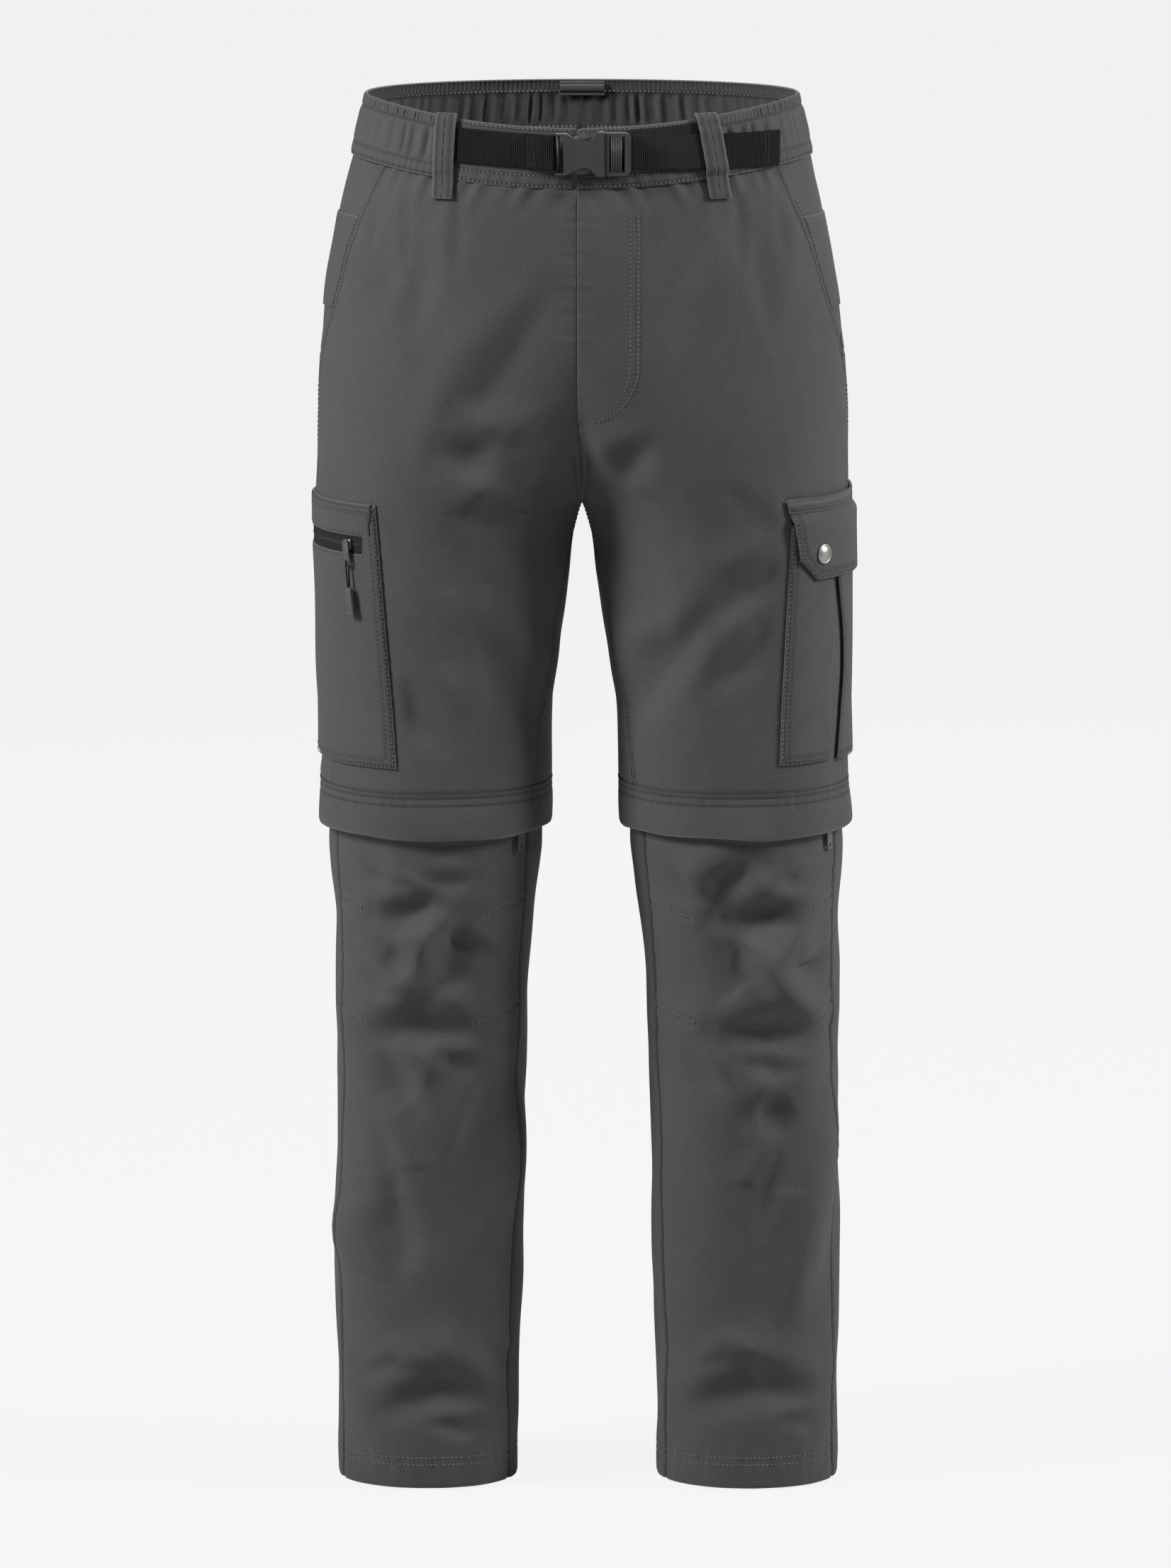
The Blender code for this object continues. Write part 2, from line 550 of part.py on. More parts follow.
def buckle():
    middle, half_h = -0.0108, BUCKLE_HEIGHT / 2
    back = -0.1172
    left, right = SOCKET_X
    outline = [(left, -0.6), (left + 0.003, -0.86), (left + 0.008, -1), (left + 0.016, -1),
               (left + 0.019, -0.72), (right - 0.009, -0.72), (right - 0.006, -1), (right, -0.94)]
    outline += [(x, -z) for x, z in reversed(outline)]
    shape = [(x, middle + z * half_h) for x, z in outline]
    slot = (left + 0.0030, middle - 0.0135, left + 0.0062, middle + 0.0135)
    slab("buckle_socket", shape, [slot], back, BUCKLE_DEPTH, "buckle_plastic")
    left, right = INSERT_X
    outline = [(left, -0.94), (left + 0.004, -1), (right - 0.005, -1), (right - 0.001, -0.9),
               (right, -0.7)]
    outline += [(x, -z) for x, z in reversed(outline)]
    shape = [(x, middle + z * half_h) for x, z in outline]
    slots = [(left + 0.0045, middle - 0.0135, left + 0.0075, middle + 0.0135),
             (left + 0.0115, middle - 0.0135, left + 0.0145, middle + 0.0135)]
    slab("buckle_insert", shape, slots, back, BUCKLE_DEPTH - 0.0010, "buckle_plastic")


def between(t_low, t_high, z_top, z_low, columns, rows):
    """A grid between two angles and two heights, each a number or a function."""
    u = np.linspace(0, 1, columns)[None, :]
    v = np.linspace(0, 1, rows)[:, None]
    top = z_top(u) if callable(z_top) else z_top + 0 * u
    z = top * (1 - v) + z_low * v
    start = t_low(z) if callable(t_low) else t_low + 0 * z
    end = t_high(z) if callable(t_high) else t_high + 0 * z
    return start * (1 - u) + end * u, z


def edge_x(pair):
    """A straight pocket edge from its top to its bottom x, as angles at height z."""
    return lambda z: front_x(pair[0] + (pair[1] - pair[0]) * (POCKET_TOP - z)
                             / (POCKET_TOP - POCKET_END), z)


def zip_pocket():
    low, high = POCKET_LIFT, POCKET_LIFT + POCKET_THICK
    front = edge_x(ZIP_POCKET_X)
    t, z = between(POCKET_REAR, front, POCKET_TOP, WINDOW[0], 12, 3)
    on_skin("zip_pocket_top", -1, t, z, low, high)
    rows = np.linspace(WINDOW[1], POCKET_END, 10)[:, None]
    end_t = float(front_x(WINDOW_END_X, WINDOW[1]))
    u = np.linspace(0, 1, 9)[None, :]
    t = POCKET_REAR * (1 - u) + (end_t - 0.2) * u + 0 * rows
    start = end_t + 0.2
    t = np.concatenate([t, start + (front(rows) - start) * np.array([[0, 0.5, 1]])], axis=1)
    z = rows + 0 * t
    z[0, -3:] = WINDOW[0] - SEAM
    on_skin("zip_pocket_bag", -1, t, z, low, high)
    t, z = between(POCKET_REAR, end_t - 0.4, WINDOW[0] - 0.0004, WINDOW[1] + 0.0004, 10, 5)
    ridge = np.array([0, 0, 0.0010, 0, 0])[:, None] + 0 * t
    on_skin("zip_pocket_zip", -1, t, z, low, low + 0.0009 + ridge, "zip_tape")


def cargo_pocket():
    low = POCKET_LIFT
    front = edge_x(BAG_X)
    bag_top = FLAP_SEAM - 0.0105
    t, z = between(lambda z: front_x(along(PLEAT, z) - along(PLEAT_GAP, z) / 2, z), front, bag_top,
                   POCKET_END + 0.002, 6, 10)
    on_skin("cargo_pocket_front", 1, t, z, low, low + POCKET_THICK)
    t, z = between(POCKET_REAR, lambda z: front_x(along(PLEAT, z) + along(PLEAT_GAP, z) / 2, z),
                   bag_top, POCKET_END, 9, 10)
    stand = 0.0012 * smooth((t + 20) / 40)
    on_skin("cargo_pocket_rear", 1, t, z, low, low + POCKET_THICK + stand)
    t, z = between(POCKET_REAR - 1, float(front_x(FLAP_FRONT[0][1], -0.28)), POCKET_TOP + 0.001,
                   FLAP_SEAM + SEAM, 12, 2)
    on_skin("cargo_flap_seam", 1, t, z, low, low + 0.0018)
    u = np.linspace(0, 1, 10)
    t_corner = float(front_x(*FLAP_CORNER))
    t_low = np.append(POCKET_REAR - 1 + (t_corner - POCKET_REAR + 1) * u,
                      float(front_x(FLAP_FRONT[2][1], FLAP_FRONT[2][0])))
    z_low = np.append(FLAP_CORNER[1] + 0 * u, FLAP_FRONT[2][0])
    t_top = np.append(t_low[:-2] + 0.0, [float(front_x(0.1640, FLAP_SEAM)),
                                        float(front_x(FLAP_FRONT[1][1], FLAP_SEAM))])
    v = np.array([0, 0.16, 0.36, 0.68, 1])[:, None]
    t = t_top[None, :] * (1 - v) + t_low[None, :] * v
    z = FLAP_SEAM * (1 - v) + z_low[None, :] * v
    lift = low + (POCKET_THICK + 0.0018) * smooth((FLAP_SEAM - z) / 0.009)
    on_skin("cargo_flap", 1, t, z, lift, lift + 0.0018)


def frame_at(half, t, z, lift):
    """A point on a half, with the directions outwards and round the leg towards the front."""
    point = skin(half, t, z, lift)
    out = outward(np.array(float(t)), np.array(float(z))) * np.array([half, 1, 1])
    out[2] = 0
    out /= np.linalg.norm(out)
    return point, out, np.cross([0, 0, 1], out) * half


def from_profile(name, profile, steps, point, out, material):
    """A turned piece: a profile of (radius, height) spun about the outward direction."""
    bm = bmesh.new()
    verts = [bm.verts.new((radius, 0, height)) for radius, height in profile]
    edges = [bm.edges.new(pair) for pair in zip(verts, verts[1:])]
    bmesh.ops.spin(bm, geom=verts + edges, cent=(0, 0, 0), axis=(0, 0, 1), steps=steps,
                   angle=2 * math.pi, use_merge=True)
    bmesh.ops.remove_doubles(bm, verts=bm.verts, dist=1e-6)
    place(bm, point, out)
    return add_object(name, bm, material)


def place(bm, point, out):
    side = np.cross([0, 0, 1], out)
    for vertex in bm.verts:
        x, y, z = vertex.co
        vertex.co = point + side * x + np.array([0, 0, 1]) * y + out * z


def snap():
    point, out, _ = frame_at(1, float(front_x(*SNAP)), SNAP[1], POCKET_LIFT + POCKET_THICK + 0.0042)
    r = SNAP_RADIUS
    profile = [(0, 0), (r * 0.9, 0), (r, 0.0005), (r * 0.93, 0.0012), (r * 0.70, 0.0021),
               (r * 0.35, 0.0026), (0, 0.0028)]
    from_profile("cargo_snap", profile, 16, point, out, "snap_metal")


def plate(name, half, t, z_top, z_low, width, lift, thick, material, hole=None, lean=0.0):
    """A flat tab hanging at angle t, with rounded ends and, if given, a round hole."""
    point, out, side = frame_at(half, t, z_top, lift)
    length, r = z_top - z_low, width / 2
    outline = []
    for centre_z, start in ((-r * 0.6, 0), (-(length - r * 0.6), 180)):
        for step in range(5):
            angle = math.radians(start + 45 * step)
            outline.append((r * math.cos(angle), centre_z + 0.6 * r * math.sin(angle)))
    bm = bmesh.new()
    levels = []
    for level in (-thick / 2, thick / 2):
        loops = [outline]
        if hole:
            hole_z, hole_r = hole
            turns = [math.radians(360 * step / len(outline)) for step in range(len(outline))]
            loops.append([(hole_r * math.cos(a), -hole_z + hole_r * math.sin(a)) for a in turns])
        levels.append([[bm.verts.new(point + side * (a + lean * -b / length) + out * level
                                     + np.array([0, 0, b])) for a, b in loop] for loop in loops])
    count = len(outline)
    for number in range(count):
        after = (number + 1) % count
        for loop in range(len(levels[0])):
            low, high = levels[0][loop], levels[1][loop]
            bm.faces.new((low[number], low[after], high[after], high[number]))
        if hole:
            for level in levels:
                bm.faces.new((level[0][number], level[0][after], level[1][after], level[1][number]))
    if not hole:
        for level in levels:
            bm.faces.new(level[0])
    return add_object(name, bm, material)


def block(name, half, t, z, lift, size, material, boss=None):
    """A zip's slider: a bevelled block, with a raised bridge in its middle if given."""
    point, out, _ = frame_at(half, t, z, lift)
    bm = bmesh.new()
    bmesh.ops.create_cube(bm, size=1)
    bmesh.ops.scale(bm, vec=size, verts=bm.verts)
    bmesh.ops.translate(bm, vec=(0, 0, size[2] / 2), verts=bm.verts)
    bmesh.ops.bevel(bm, geom=[e for e in bm.edges if abs(e.verts[0].co.z - e.verts[1].co.z) > 1e-4],
                    offset=min(size[:2]) * 0.25, segments=1, affect="EDGES", profile=0.5,
                    material=-1)
    if boss:
        top = max(bm.faces, key=lambda face: face.calc_center_median().z)
        made = bmesh.ops.inset_individual(bm, faces=[top], thickness=min(size[:2]) * 0.3)
        raised = bmesh.ops.extrude_discrete_faces(bm, faces=[top])["faces"]
        bmesh.ops.translate(bm, vec=(0, 0, boss), verts=raised[0].verts)
    place(bm, point, out)
    return add_object(name, bm, material)


def pocket_pull():
    t = float(front_x(PULL_X, PULL_Z))
    block("pocket_zip_slider", -1, t, PULL_Z - 0.0035, POCKET_LIFT + 0.0022,
          (0.0080, 0.0070, 0.0016), "zip_metal", boss=0.0008)
    hole = (TAB_LENGTH - 0.0030, 0.0016)
    share = TAB_LENGTH / (PULL_Z - GRIP_END)
    plate("pocket_pull_tab", -1, t, PULL_Z, PULL_Z - TAB_LENGTH, TAB_WIDTH, PULL_LIFT, 0.0010,
          "zip_metal", hole, -PULL_LEAN * share)
    point, out, side = frame_at(-1, t, PULL_Z, PULL_LIFT)
    length = PULL_Z - GRIP_END
    hole_z = PULL_Z - hole[0]
    route = [(0.0007, GRIP_TOP + 0.0004), (0.0013, hole_z - 0.0060), (0.0014, hole_z - 0.0012),
             (0.0008, hole_z - 0.0002), (0, hole_z + 0.0001), (-0.0008, hole_z - 0.0002),
             (-0.0014, hole_z - 0.0012), (-0.0013, hole_z - 0.0060), (-0.0007, GRIP_TOP + 0.0004)]
    curve = bpy.data.curves.new("pocket_pull_cord", "CURVE")
    curve.dimensions = "3D"
    curve.bevel_depth = CORD_RADIUS
    curve.bevel_resolution = 1
    curve.use_fill_caps = True
    spline = curve.splines.new("POLY")
    spline.points.add(len(route) - 1)
    for number, (off, z) in enumerate(route):
        along_side = -PULL_LEAN * (PULL_Z - z) / length
        place_at = point + out * off + side * along_side
        spline.points[number].co = (place_at[0], place_at[1], z, 1)
    curve.materials.append(MATERIALS["webbing"])
    obj = bpy.data.objects.new("pocket_pull_cord", curve)
    bpy.context.scene.collection.objects.link(obj)
    bm = bmesh.new()
    bmesh.ops.create_cube(bm, size=1)
    size = (GRIP_WIDTH, GRIP_TOP - GRIP_END, 0.0040)
    bmesh.ops.scale(bm, vec=size, verts=bm.verts)
    bmesh.ops.bevel(bm, geom=bm.edges[:], offset=0.0010, segments=1, affect="EDGES", profile=0.5,
                    material=-1)
    middle = (GRIP_TOP + GRIP_END) / 2
    lean = -PULL_LEAN * (PULL_Z - middle) / length
    place(bm, point + side * lean + np.array([0, 0, middle - PULL_Z]), out)
    add_object("pocket_pull_grip", bm, "grip_plastic")


def leg_pulls():
    for side, half in SIDES:
        t = float(front_x(LEG_PULL_X[side], PULL_TOP))
        block(f"leg_slider_{side}", half, t, PULL_TOP + 0.0020, -0.0001, (0.0100, 0.0080, 0.0014),
              "zip_metal")
        lift = -0.0001 + 0.0014 + SEAM + PULL_THICK / 2
        plate(f"leg_pull_{side}", half, t, PULL_TOP + 0.0010, PULL_TOP - PULL_LENGTH, PULL_WIDTH,
              lift, PULL_THICK, "zip_metal", (PULL_LENGTH - 0.0025, 0.0016))


def build():
    for obj in list(bpy.data.objects):
        bpy.data.objects.remove(obj)
    finish("cloth", (0.085, 0.085, 0.092), 0.85)
    finish("zip_tape", (0.02, 0.02, 0.022), 0.7)
    finish("webbing", (0.012, 0.012, 0.013), 0.7)
    finish("buckle_plastic", (0.02, 0.02, 0.021), 0.45)
    finish("grip_plastic", (0.12, 0.12, 0.125), 0.5)
    finish("zip_metal", (0.22, 0.22, 0.23), 0.35, 1.0)
    finish("snap_metal", (0.5, 0.5, 0.5), 0.35, 1.0)
    upper_panels()
    hip_pieces()
    shin_panels()
    zips_and_storm_flaps()
    waistband()
    back_patch()
    belt_loops()
    belt()
    buckle()
    zip_pocket()
    cargo_pocket()
    snap()
    pocket_pull()
    leg_pulls()


build()
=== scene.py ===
# %% [markdown]
# # Convertible zip-off trousers
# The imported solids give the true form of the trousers. This script dresses that form: every
# panel becomes a thin cloth shell with its creases, seams and rows of stitching, and the belt,
# zips and snap get their detail. Lengths are metres, +Z is up and the front looks along -Y.

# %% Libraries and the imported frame
import math

import bmesh
import bpy
import numpy as np
from mathutils import Matrix, Vector


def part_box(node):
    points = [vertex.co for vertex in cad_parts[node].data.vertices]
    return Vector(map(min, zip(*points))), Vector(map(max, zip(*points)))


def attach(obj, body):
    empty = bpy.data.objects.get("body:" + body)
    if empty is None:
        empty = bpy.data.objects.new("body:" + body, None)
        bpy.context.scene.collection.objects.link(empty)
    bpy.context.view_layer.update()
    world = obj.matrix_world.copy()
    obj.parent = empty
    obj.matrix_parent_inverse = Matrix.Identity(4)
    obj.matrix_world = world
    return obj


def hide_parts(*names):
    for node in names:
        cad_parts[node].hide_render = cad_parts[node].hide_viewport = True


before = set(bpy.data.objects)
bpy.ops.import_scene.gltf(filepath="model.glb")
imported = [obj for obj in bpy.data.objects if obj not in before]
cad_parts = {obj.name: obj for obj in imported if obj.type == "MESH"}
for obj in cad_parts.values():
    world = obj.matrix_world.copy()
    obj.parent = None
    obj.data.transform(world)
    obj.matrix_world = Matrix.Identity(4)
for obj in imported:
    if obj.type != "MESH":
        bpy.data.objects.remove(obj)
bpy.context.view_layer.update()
scene = bpy.context.scene
rng = np.random.default_rng(11)

# %% [markdown]
# ## The camera
# A long lens from seven metres looks slightly down, as the photograph does: the rear of the
# waistband shows above its front. The picture's centre line passes just beside the origin.

# %% Camera
CAMERA_PLACE = Vector((0.0027, -7.2, 0.69))
CAMERA_AIM = Vector((0.0027, 0.0, -0.504))
camera_data = bpy.data.cameras.new("camera")
camera_data.lens = 219.86
camera_data.sensor_width = 36.0
camera_data.clip_end = 200.0
camera = bpy.data.objects.new("camera", camera_data)
camera.location = CAMERA_PLACE
camera.rotation_mode = "QUATERNION"
camera.rotation_quaternion = (CAMERA_AIM - CAMERA_PLACE).to_track_quat("-Z", "Y")
scene.collection.objects.link(camera)
scene.camera = camera
print("camera distance", round((CAMERA_AIM - CAMERA_PLACE).length, 3), "m")

# %% [markdown]
# ## Light and floor
# A studio lights dark cloth with large soft boxes: one high on the left as the main light, a
# weaker one on the right, a small one high in front and one behind. The floor
# is pale and keeps its own brightness for the camera, so that it looks like a paper sweep.

# %% Light
scene.view_settings.view_transform = "Standard"
LIGHT_AIM = Vector((0.0, 0.0, -0.30))
LIGHTS = (
    # name, place, width, height, watts
    ("left key", (-2.9, -1.35, 1.75), 0.9, 1.5, 150.0),
    ("right key", (3.1, -0.55, 1.55), 0.8, 1.5, 118.0),
    ("top light", (0.5, -1.9, 2.7), 1.0, 0.8, 13.0),
    ("rear light", (0.6, 3.2, 1.5), 1.6, 1.4, 40.0),
)
for name, place, width, height, watts in LIGHTS:
    light = bpy.data.lights.new(name, "AREA")
    light.shape, light.size, light.size_y, light.energy = "RECTANGLE", width, height, watts
    lamp = bpy.data.objects.new(name, light)
    lamp.location = place
    lamp.rotation_mode = "QUATERNION"
    lamp.rotation_quaternion = (LIGHT_AIM - Vector(place)).to_track_quat("-Z", "Y")
    scene.collection.objects.link(lamp)
AMBIENT = 0.058
world = bpy.data.worlds.new("studio")
world.use_nodes = True
world.node_tree.nodes["Background"].inputs["Color"].default_value = (0.895, 0.90, 0.90, 1)
backdrop_ray = world.node_tree.nodes.new("ShaderNodeLightPath")
backdrop = world.node_tree.nodes.new("ShaderNodeMath")
backdrop.operation = "MULTIPLY_ADD"
backdrop.inputs[1].default_value = 1.0 - AMBIENT
backdrop.inputs[2].default_value = AMBIENT
world.node_tree.links.new(backdrop_ray.outputs["Is Camera Ray"], backdrop.inputs[0])
world.node_tree.links.new(backdrop.outputs[0], world.node_tree.nodes["Background"].inputs["Strength"])
scene.world = world

# %% Floor
FLOOR_HEIGHT = -1.0402
floor_bm = bmesh.new()
bmesh.ops.create_grid(floor_bm, x_segments=1, y_segments=1, size=60.0,
                      matrix=Matrix.Translation((0, 0, FLOOR_HEIGHT - 0.0015)))
floor_mesh = bpy.data.meshes.new("floor")
floor_bm.to_mesh(floor_mesh)
floor_bm.free()
floor = bpy.data.objects.new("floor", floor_mesh)
scene.collection.objects.link(floor)
paper = bpy.data.materials.new("paper")
paper.use_nodes = True
nodes, links = paper.node_tree.nodes, paper.node_tree.links
matt = nodes["Principled BSDF"]
matt.inputs["Base Color"].default_value = (0.50, 0.50, 0.50, 1)
matt.inputs["Roughness"].default_value = 0.9
glow = nodes.new("ShaderNodeEmission")
glow.inputs["Color"].default_value = (0.945, 0.950, 0.950, 1)
ray = nodes.new("ShaderNodeLightPath")
share = nodes.new("ShaderNodeMath")
share.operation = "MULTIPLY"
share.inputs[1].default_value = 0.92
blend = nodes.new("ShaderNodeMixShader")
links.new(ray.outputs["Is Camera Ray"], share.inputs[0])
links.new(share.outputs[0], blend.inputs[0])
links.new(matt.outputs[0], blend.inputs[1])
links.new(glow.outputs[0], blend.inputs[2])
links.new(blend.outputs[0], nodes["Material Output"].inputs["Surface"])
floor_mesh.materials.append(paper)
print("floor at", FLOOR_HEIGHT, "with", len(LIGHTS), "lights")

# %% [markdown]
# ## Shared effects
# Four effects are used by more than one finish, so each is a node group: a twill weave, an even
# grain, a lighter edge on folded cloth, partly rubbed pale and partly a painted highlight where
# light catches the rolled edge, and the cross ribs of webbing.
# The weave and the ribs read the piece's own UV map, which is in metres along the cloth, so the
# threads have their real width and follow the piece.

# %% Node group helpers
def new_group(name, inputs, outputs):
    """An empty shader group with named float or colour sockets."""
    group = bpy.data.node_groups.new(name, "ShaderNodeTree")
    for label, kind in inputs:
        group.interface.new_socket(label, in_out="INPUT", socket_type=kind)
    for label, kind in outputs:
        group.interface.new_socket(label, in_out="OUTPUT", socket_type=kind)
    return group, group.nodes.new("NodeGroupInput"), group.nodes.new("NodeGroupOutput")


def math_node(tree, operation, a, b=None):
    node = tree.nodes.new("ShaderNodeMath")
    node.operation = operation
    for socket, value in zip(node.inputs, (a, b)):
        if isinstance(value, bpy.types.NodeSocket):
            tree.links.new(value, socket)
        elif value is not None:
            socket.default_value = value
    return node.outputs[0]


FLOAT, COLOUR, VECTOR = "NodeSocketFloat", "NodeSocketColor", "NodeSocketVector"

# %% Twill weave
twill, given, made = new_group("twill weave", [("UV", VECTOR), ("Threads per metre", FLOAT)],
                               [("Height", FLOAT), ("Mask", FLOAT)])
split = twill.nodes.new("ShaderNodeSeparateXYZ")
twill.links.new(given.outputs["UV"], split.inputs[0])
turn = math_node(twill, "MULTIPLY", given.outputs["Threads per metre"], 2 * math.pi)
weft = math_node(twill, "MULTIPLY", split.outputs["Y"], turn)
warp = math_node(twill, "MULTIPLY", split.outputs["X"], turn)
diagonal = math_node(twill, "SINE", math_node(twill, "MULTIPLY", math_node(twill, "ADD", warp, weft), 0.5))
cross = math_node(twill, "SINE", weft)
height = math_node(twill, "ADD", math_node(twill, "MULTIPLY", diagonal, 0.32),
                   math_node(twill, "MULTIPLY", cross, 0.14))
height = math_node(twill, "ADD", height, 0.5)
twill.links.new(height, made.inputs["Height"])
twill.links.new(math_node(twill, "POWER", height, 0.6), made.inputs["Mask"])
print("twill weave:", len(twill.nodes), "nodes")

# %% Grain
grain, given, made = new_group("grain", [("Coordinates", VECTOR), ("Size", FLOAT), ("Amount", FLOAT)],
                               [("Value", FLOAT)])
speck = grain.nodes.new("ShaderNodeTexNoise")
speck.inputs["Detail"].default_value = 3.0
grain.links.new(given.outputs["Coordinates"], speck.inputs["Vector"])
grain.links.new(math_node(grain, "DIVIDE", 1.0, given.outputs["Size"]), speck.inputs["Scale"])
spread = math_node(grain, "SUBTRACT", speck.outputs["Fac"], 0.5)
value = math_node(grain, "MULTIPLY", spread, given.outputs["Amount"])
grain.links.new(math_node(grain, "ADD", value, 1.0), made.inputs["Value"])

# %% Edge lightening: rubbed edges and painted highlight
wear_and_highlight, given, made = new_group("edge wear", [("Colour", COLOUR), ("Edge", FLOAT), ("Amount", FLOAT)],
                              [("Colour", COLOUR)])
# Mixes towards a paler grey at folded edges: partly rubbed pale, partly a painted highlight.
lighter = wear_and_highlight.nodes.new("ShaderNodeMix")
lighter.data_type = "RGBA"
sockets = {s.identifier: s for s in lighter.inputs}
sockets["B_Color"].default_value = (0.30, 0.30, 0.31, 1)
wear_and_highlight.links.new(math_node(wear_and_highlight, "MULTIPLY", given.outputs["Edge"], given.outputs["Amount"]),
               sockets["Factor_Float"])
wear_and_highlight.links.new(given.outputs["Colour"], sockets["A_Color"])
wear_and_highlight.links.new({s.identifier: s for s in lighter.outputs}["Result_Color"], made.inputs["Colour"])

# %% Webbing ribs
ribs, given, made = new_group("webbing ribs", [("UV", VECTOR), ("Ribs per metre", FLOAT)],
                              [("Height", FLOAT)])
split = ribs.nodes.new("ShaderNodeSeparateXYZ")
ribs.links.new(given.outputs["UV"], split.inputs[0])
turn = math_node(ribs, "MULTIPLY", given.outputs["Ribs per metre"], 2 * math.pi)
across = math_node(ribs, "SINE", math_node(ribs, "MULTIPLY", split.outputs["X"], turn))
fine = math_node(ribs, "SINE", math_node(ribs, "MULTIPLY", split.outputs["Y"],
                                         math_node(ribs, "MULTIPLY", turn, 1.6)))
ribs.links.new(math_node(ribs, "ADD", math_node(ribs, "MULTIPLY", across, 0.6),
                         math_node(ribs, "MULTIPLY", math_node(ribs, "MULTIPLY", across, fine), 0.3)),
               made.inputs["Height"])
print("webbing ribs:", len(ribs.nodes), "nodes")


# %% [markdown]
# ## Finishes
# Each finish is one material with a Principled BSDF. Cloth gets its weave as bump and as a
# slight change of colour, a coarser unevenness as in dyed cotton, and a little sheen.

# %% Finish helpers
MATERIALS = {}


def use_group(tree, group, **values):
    node = tree.nodes.new("ShaderNodeGroup")
    node.node_tree = group
    for label, value in values.items():
        socket = node.inputs[label.replace("_", " ")]
        if isinstance(value, bpy.types.NodeSocket):
            tree.links.new(value, socket)
        else:
            socket.default_value = value
    return node


def tinted(tree, colour, *values):
    """A colour multiplied by each value."""
    shade = None
    for value in values:
        shade = value if shade is None else math_node(tree, "MULTIPLY", shade, value)
    scaled = tree.nodes.new("ShaderNodeVectorMath")
    scaled.operation = "SCALE"
    scaled.inputs[0].default_value = colour
    tree.links.new(shade, scaled.inputs["Scale"])
    return scaled.outputs[0]


def bump(tree, shader, height, distance, strength=1.0):
    node = tree.nodes.new("ShaderNodeBump")
    node.inputs["Distance"].default_value = distance
    node.inputs["Strength"].default_value = strength
    tree.links.new(height, node.inputs["Height"])
    tree.links.new(node.outputs[0], shader.inputs["Normal"])


def start_material(name, roughness, metallic=0.0):
    material = bpy.data.materials.new(name)
    material.use_nodes = True
    tree = material.node_tree
    shader = tree.nodes["Principled BSDF"]
    shader.inputs["Roughness"].default_value = roughness
    shader.inputs["Metallic"].default_value = metallic
    MATERIALS[name] = material
    return tree, shader, tree.nodes.new("ShaderNodeTexCoord")


# %% Cloth
def cloth_material(name, colour, sheen, threads, edge_amount):
    tree, shader, place = start_material(name, 0.82)
    shader.inputs["Sheen Weight"].default_value = sheen
    shader.inputs["Sheen Roughness"].default_value = 0.55
    shader.inputs["Specular IOR Level"].default_value = 0.30
    weave = use_group(tree, twill, UV=place.outputs["UV"], Threads_per_metre=threads)
    broad = use_group(tree, grain, Coordinates=place.outputs["Object"], Size=0.05, Amount=0.22)
    fine = use_group(tree, grain, Coordinates=place.outputs["Object"], Size=0.0022, Amount=0.45)
    woven = math_node(tree, "ADD", math_node(tree, "MULTIPLY", weave.outputs["Mask"], 0.34), 0.76)
    base = tinted(tree, colour, woven, broad.outputs["Value"], fine.outputs["Value"])
    # The edge attribute lightens folded edges: partly rubbed pale, partly a painted highlight where light catches the
    # rolled edge.
    edge = tree.nodes.new("ShaderNodeAttribute")
    edge.attribute_name = "edge"
    shade = tree.nodes.new("ShaderNodeAttribute")
    shade.attribute_name = "channel"
    # Painted shade: where the channel attribute is 1, in the channels of rows and seams, the colour falls to 0.3 of
    # the cloth's.
    painted_channel_shade = tree.nodes.new("ShaderNodeMix")
    painted_channel_shade.data_type = "RGBA"
    sockets = {socket.identifier: socket for socket in painted_channel_shade.inputs}
    tree.links.new(shade.outputs["Fac"], sockets["Factor_Float"])
    tree.links.new(base, sockets["A_Color"])
    sockets["B_Color"].default_value = (*(0.30 * c for c in colour), 1)
    result = next(socket for socket in painted_channel_shade.outputs if socket.identifier == "Result_Color")
    worn_and_lit = use_group(tree, wear_and_highlight, Colour=result, Edge=edge.outputs["Fac"], Amount=edge_amount)
    tree.links.new(worn_and_lit.outputs["Colour"], shader.inputs["Base Color"])
    bump(tree, shader, weave.outputs["Height"], 0.00012, 0.7)


CHARCOAL = (0.070, 0.0692, 0.0705)
cloth_material("charcoal cloth", CHARCOAL, 0.10, 900.0, 0.22)
# A shaded copy of the cloth at 0.85 of its colour: painted shade for cloth that lies inside.
cloth_material("shaded inner cloth", tuple(0.85 * c for c in CHARCOAL), 0.05, 900.0, 0.12)


# %% Threads, tape and webbing
def thread_material(name, colour):
    tree, shader, place = start_material(name, 0.6)
    shader.inputs["Sheen Weight"].default_value = 0.1
    twist = use_group(tree, grain, Coordinates=place.outputs["Object"], Size=0.0005, Amount=0.5)
    tree.links.new(tinted(tree, colour, twist.outputs["Value"]), shader.inputs["Base Color"])


def ribbed_material(name, colour, roughness, ribs_per_metre, depth):
    tree, shader, place = start_material(name, roughness)
    shader.inputs["Specular IOR Level"].default_value = 0.25
    band = use_group(tree, ribs, UV=place.outputs["UV"], Ribs_per_metre=ribs_per_metre)
    fine = use_group(tree, grain, Coordinates=place.outputs["Object"], Size=0.0012, Amount=0.45)
    lit = math_node(tree, "ADD", math_node(tree, "MULTIPLY", band.outputs["Height"], 0.9), 0.7)
    tree.links.new(tinted(tree, colour, lit, fine.outputs["Value"]), shader.inputs["Base Color"])
    bump(tree, shader, band.outputs["Height"], depth)


thread_material("light thread", (0.165, 0.164, 0.166))
thread_material("grey thread", (0.118, 0.117, 0.119))
thread_material("black thread", (0.016, 0.016, 0.017))
ribbed_material("webbing", (0.0100, 0.0100, 0.0106), 0.70, 620.0, 0.00060)
ribbed_material("zip tape", (0.022, 0.022, 0.023), 0.75, 1100.0, 0.00015)


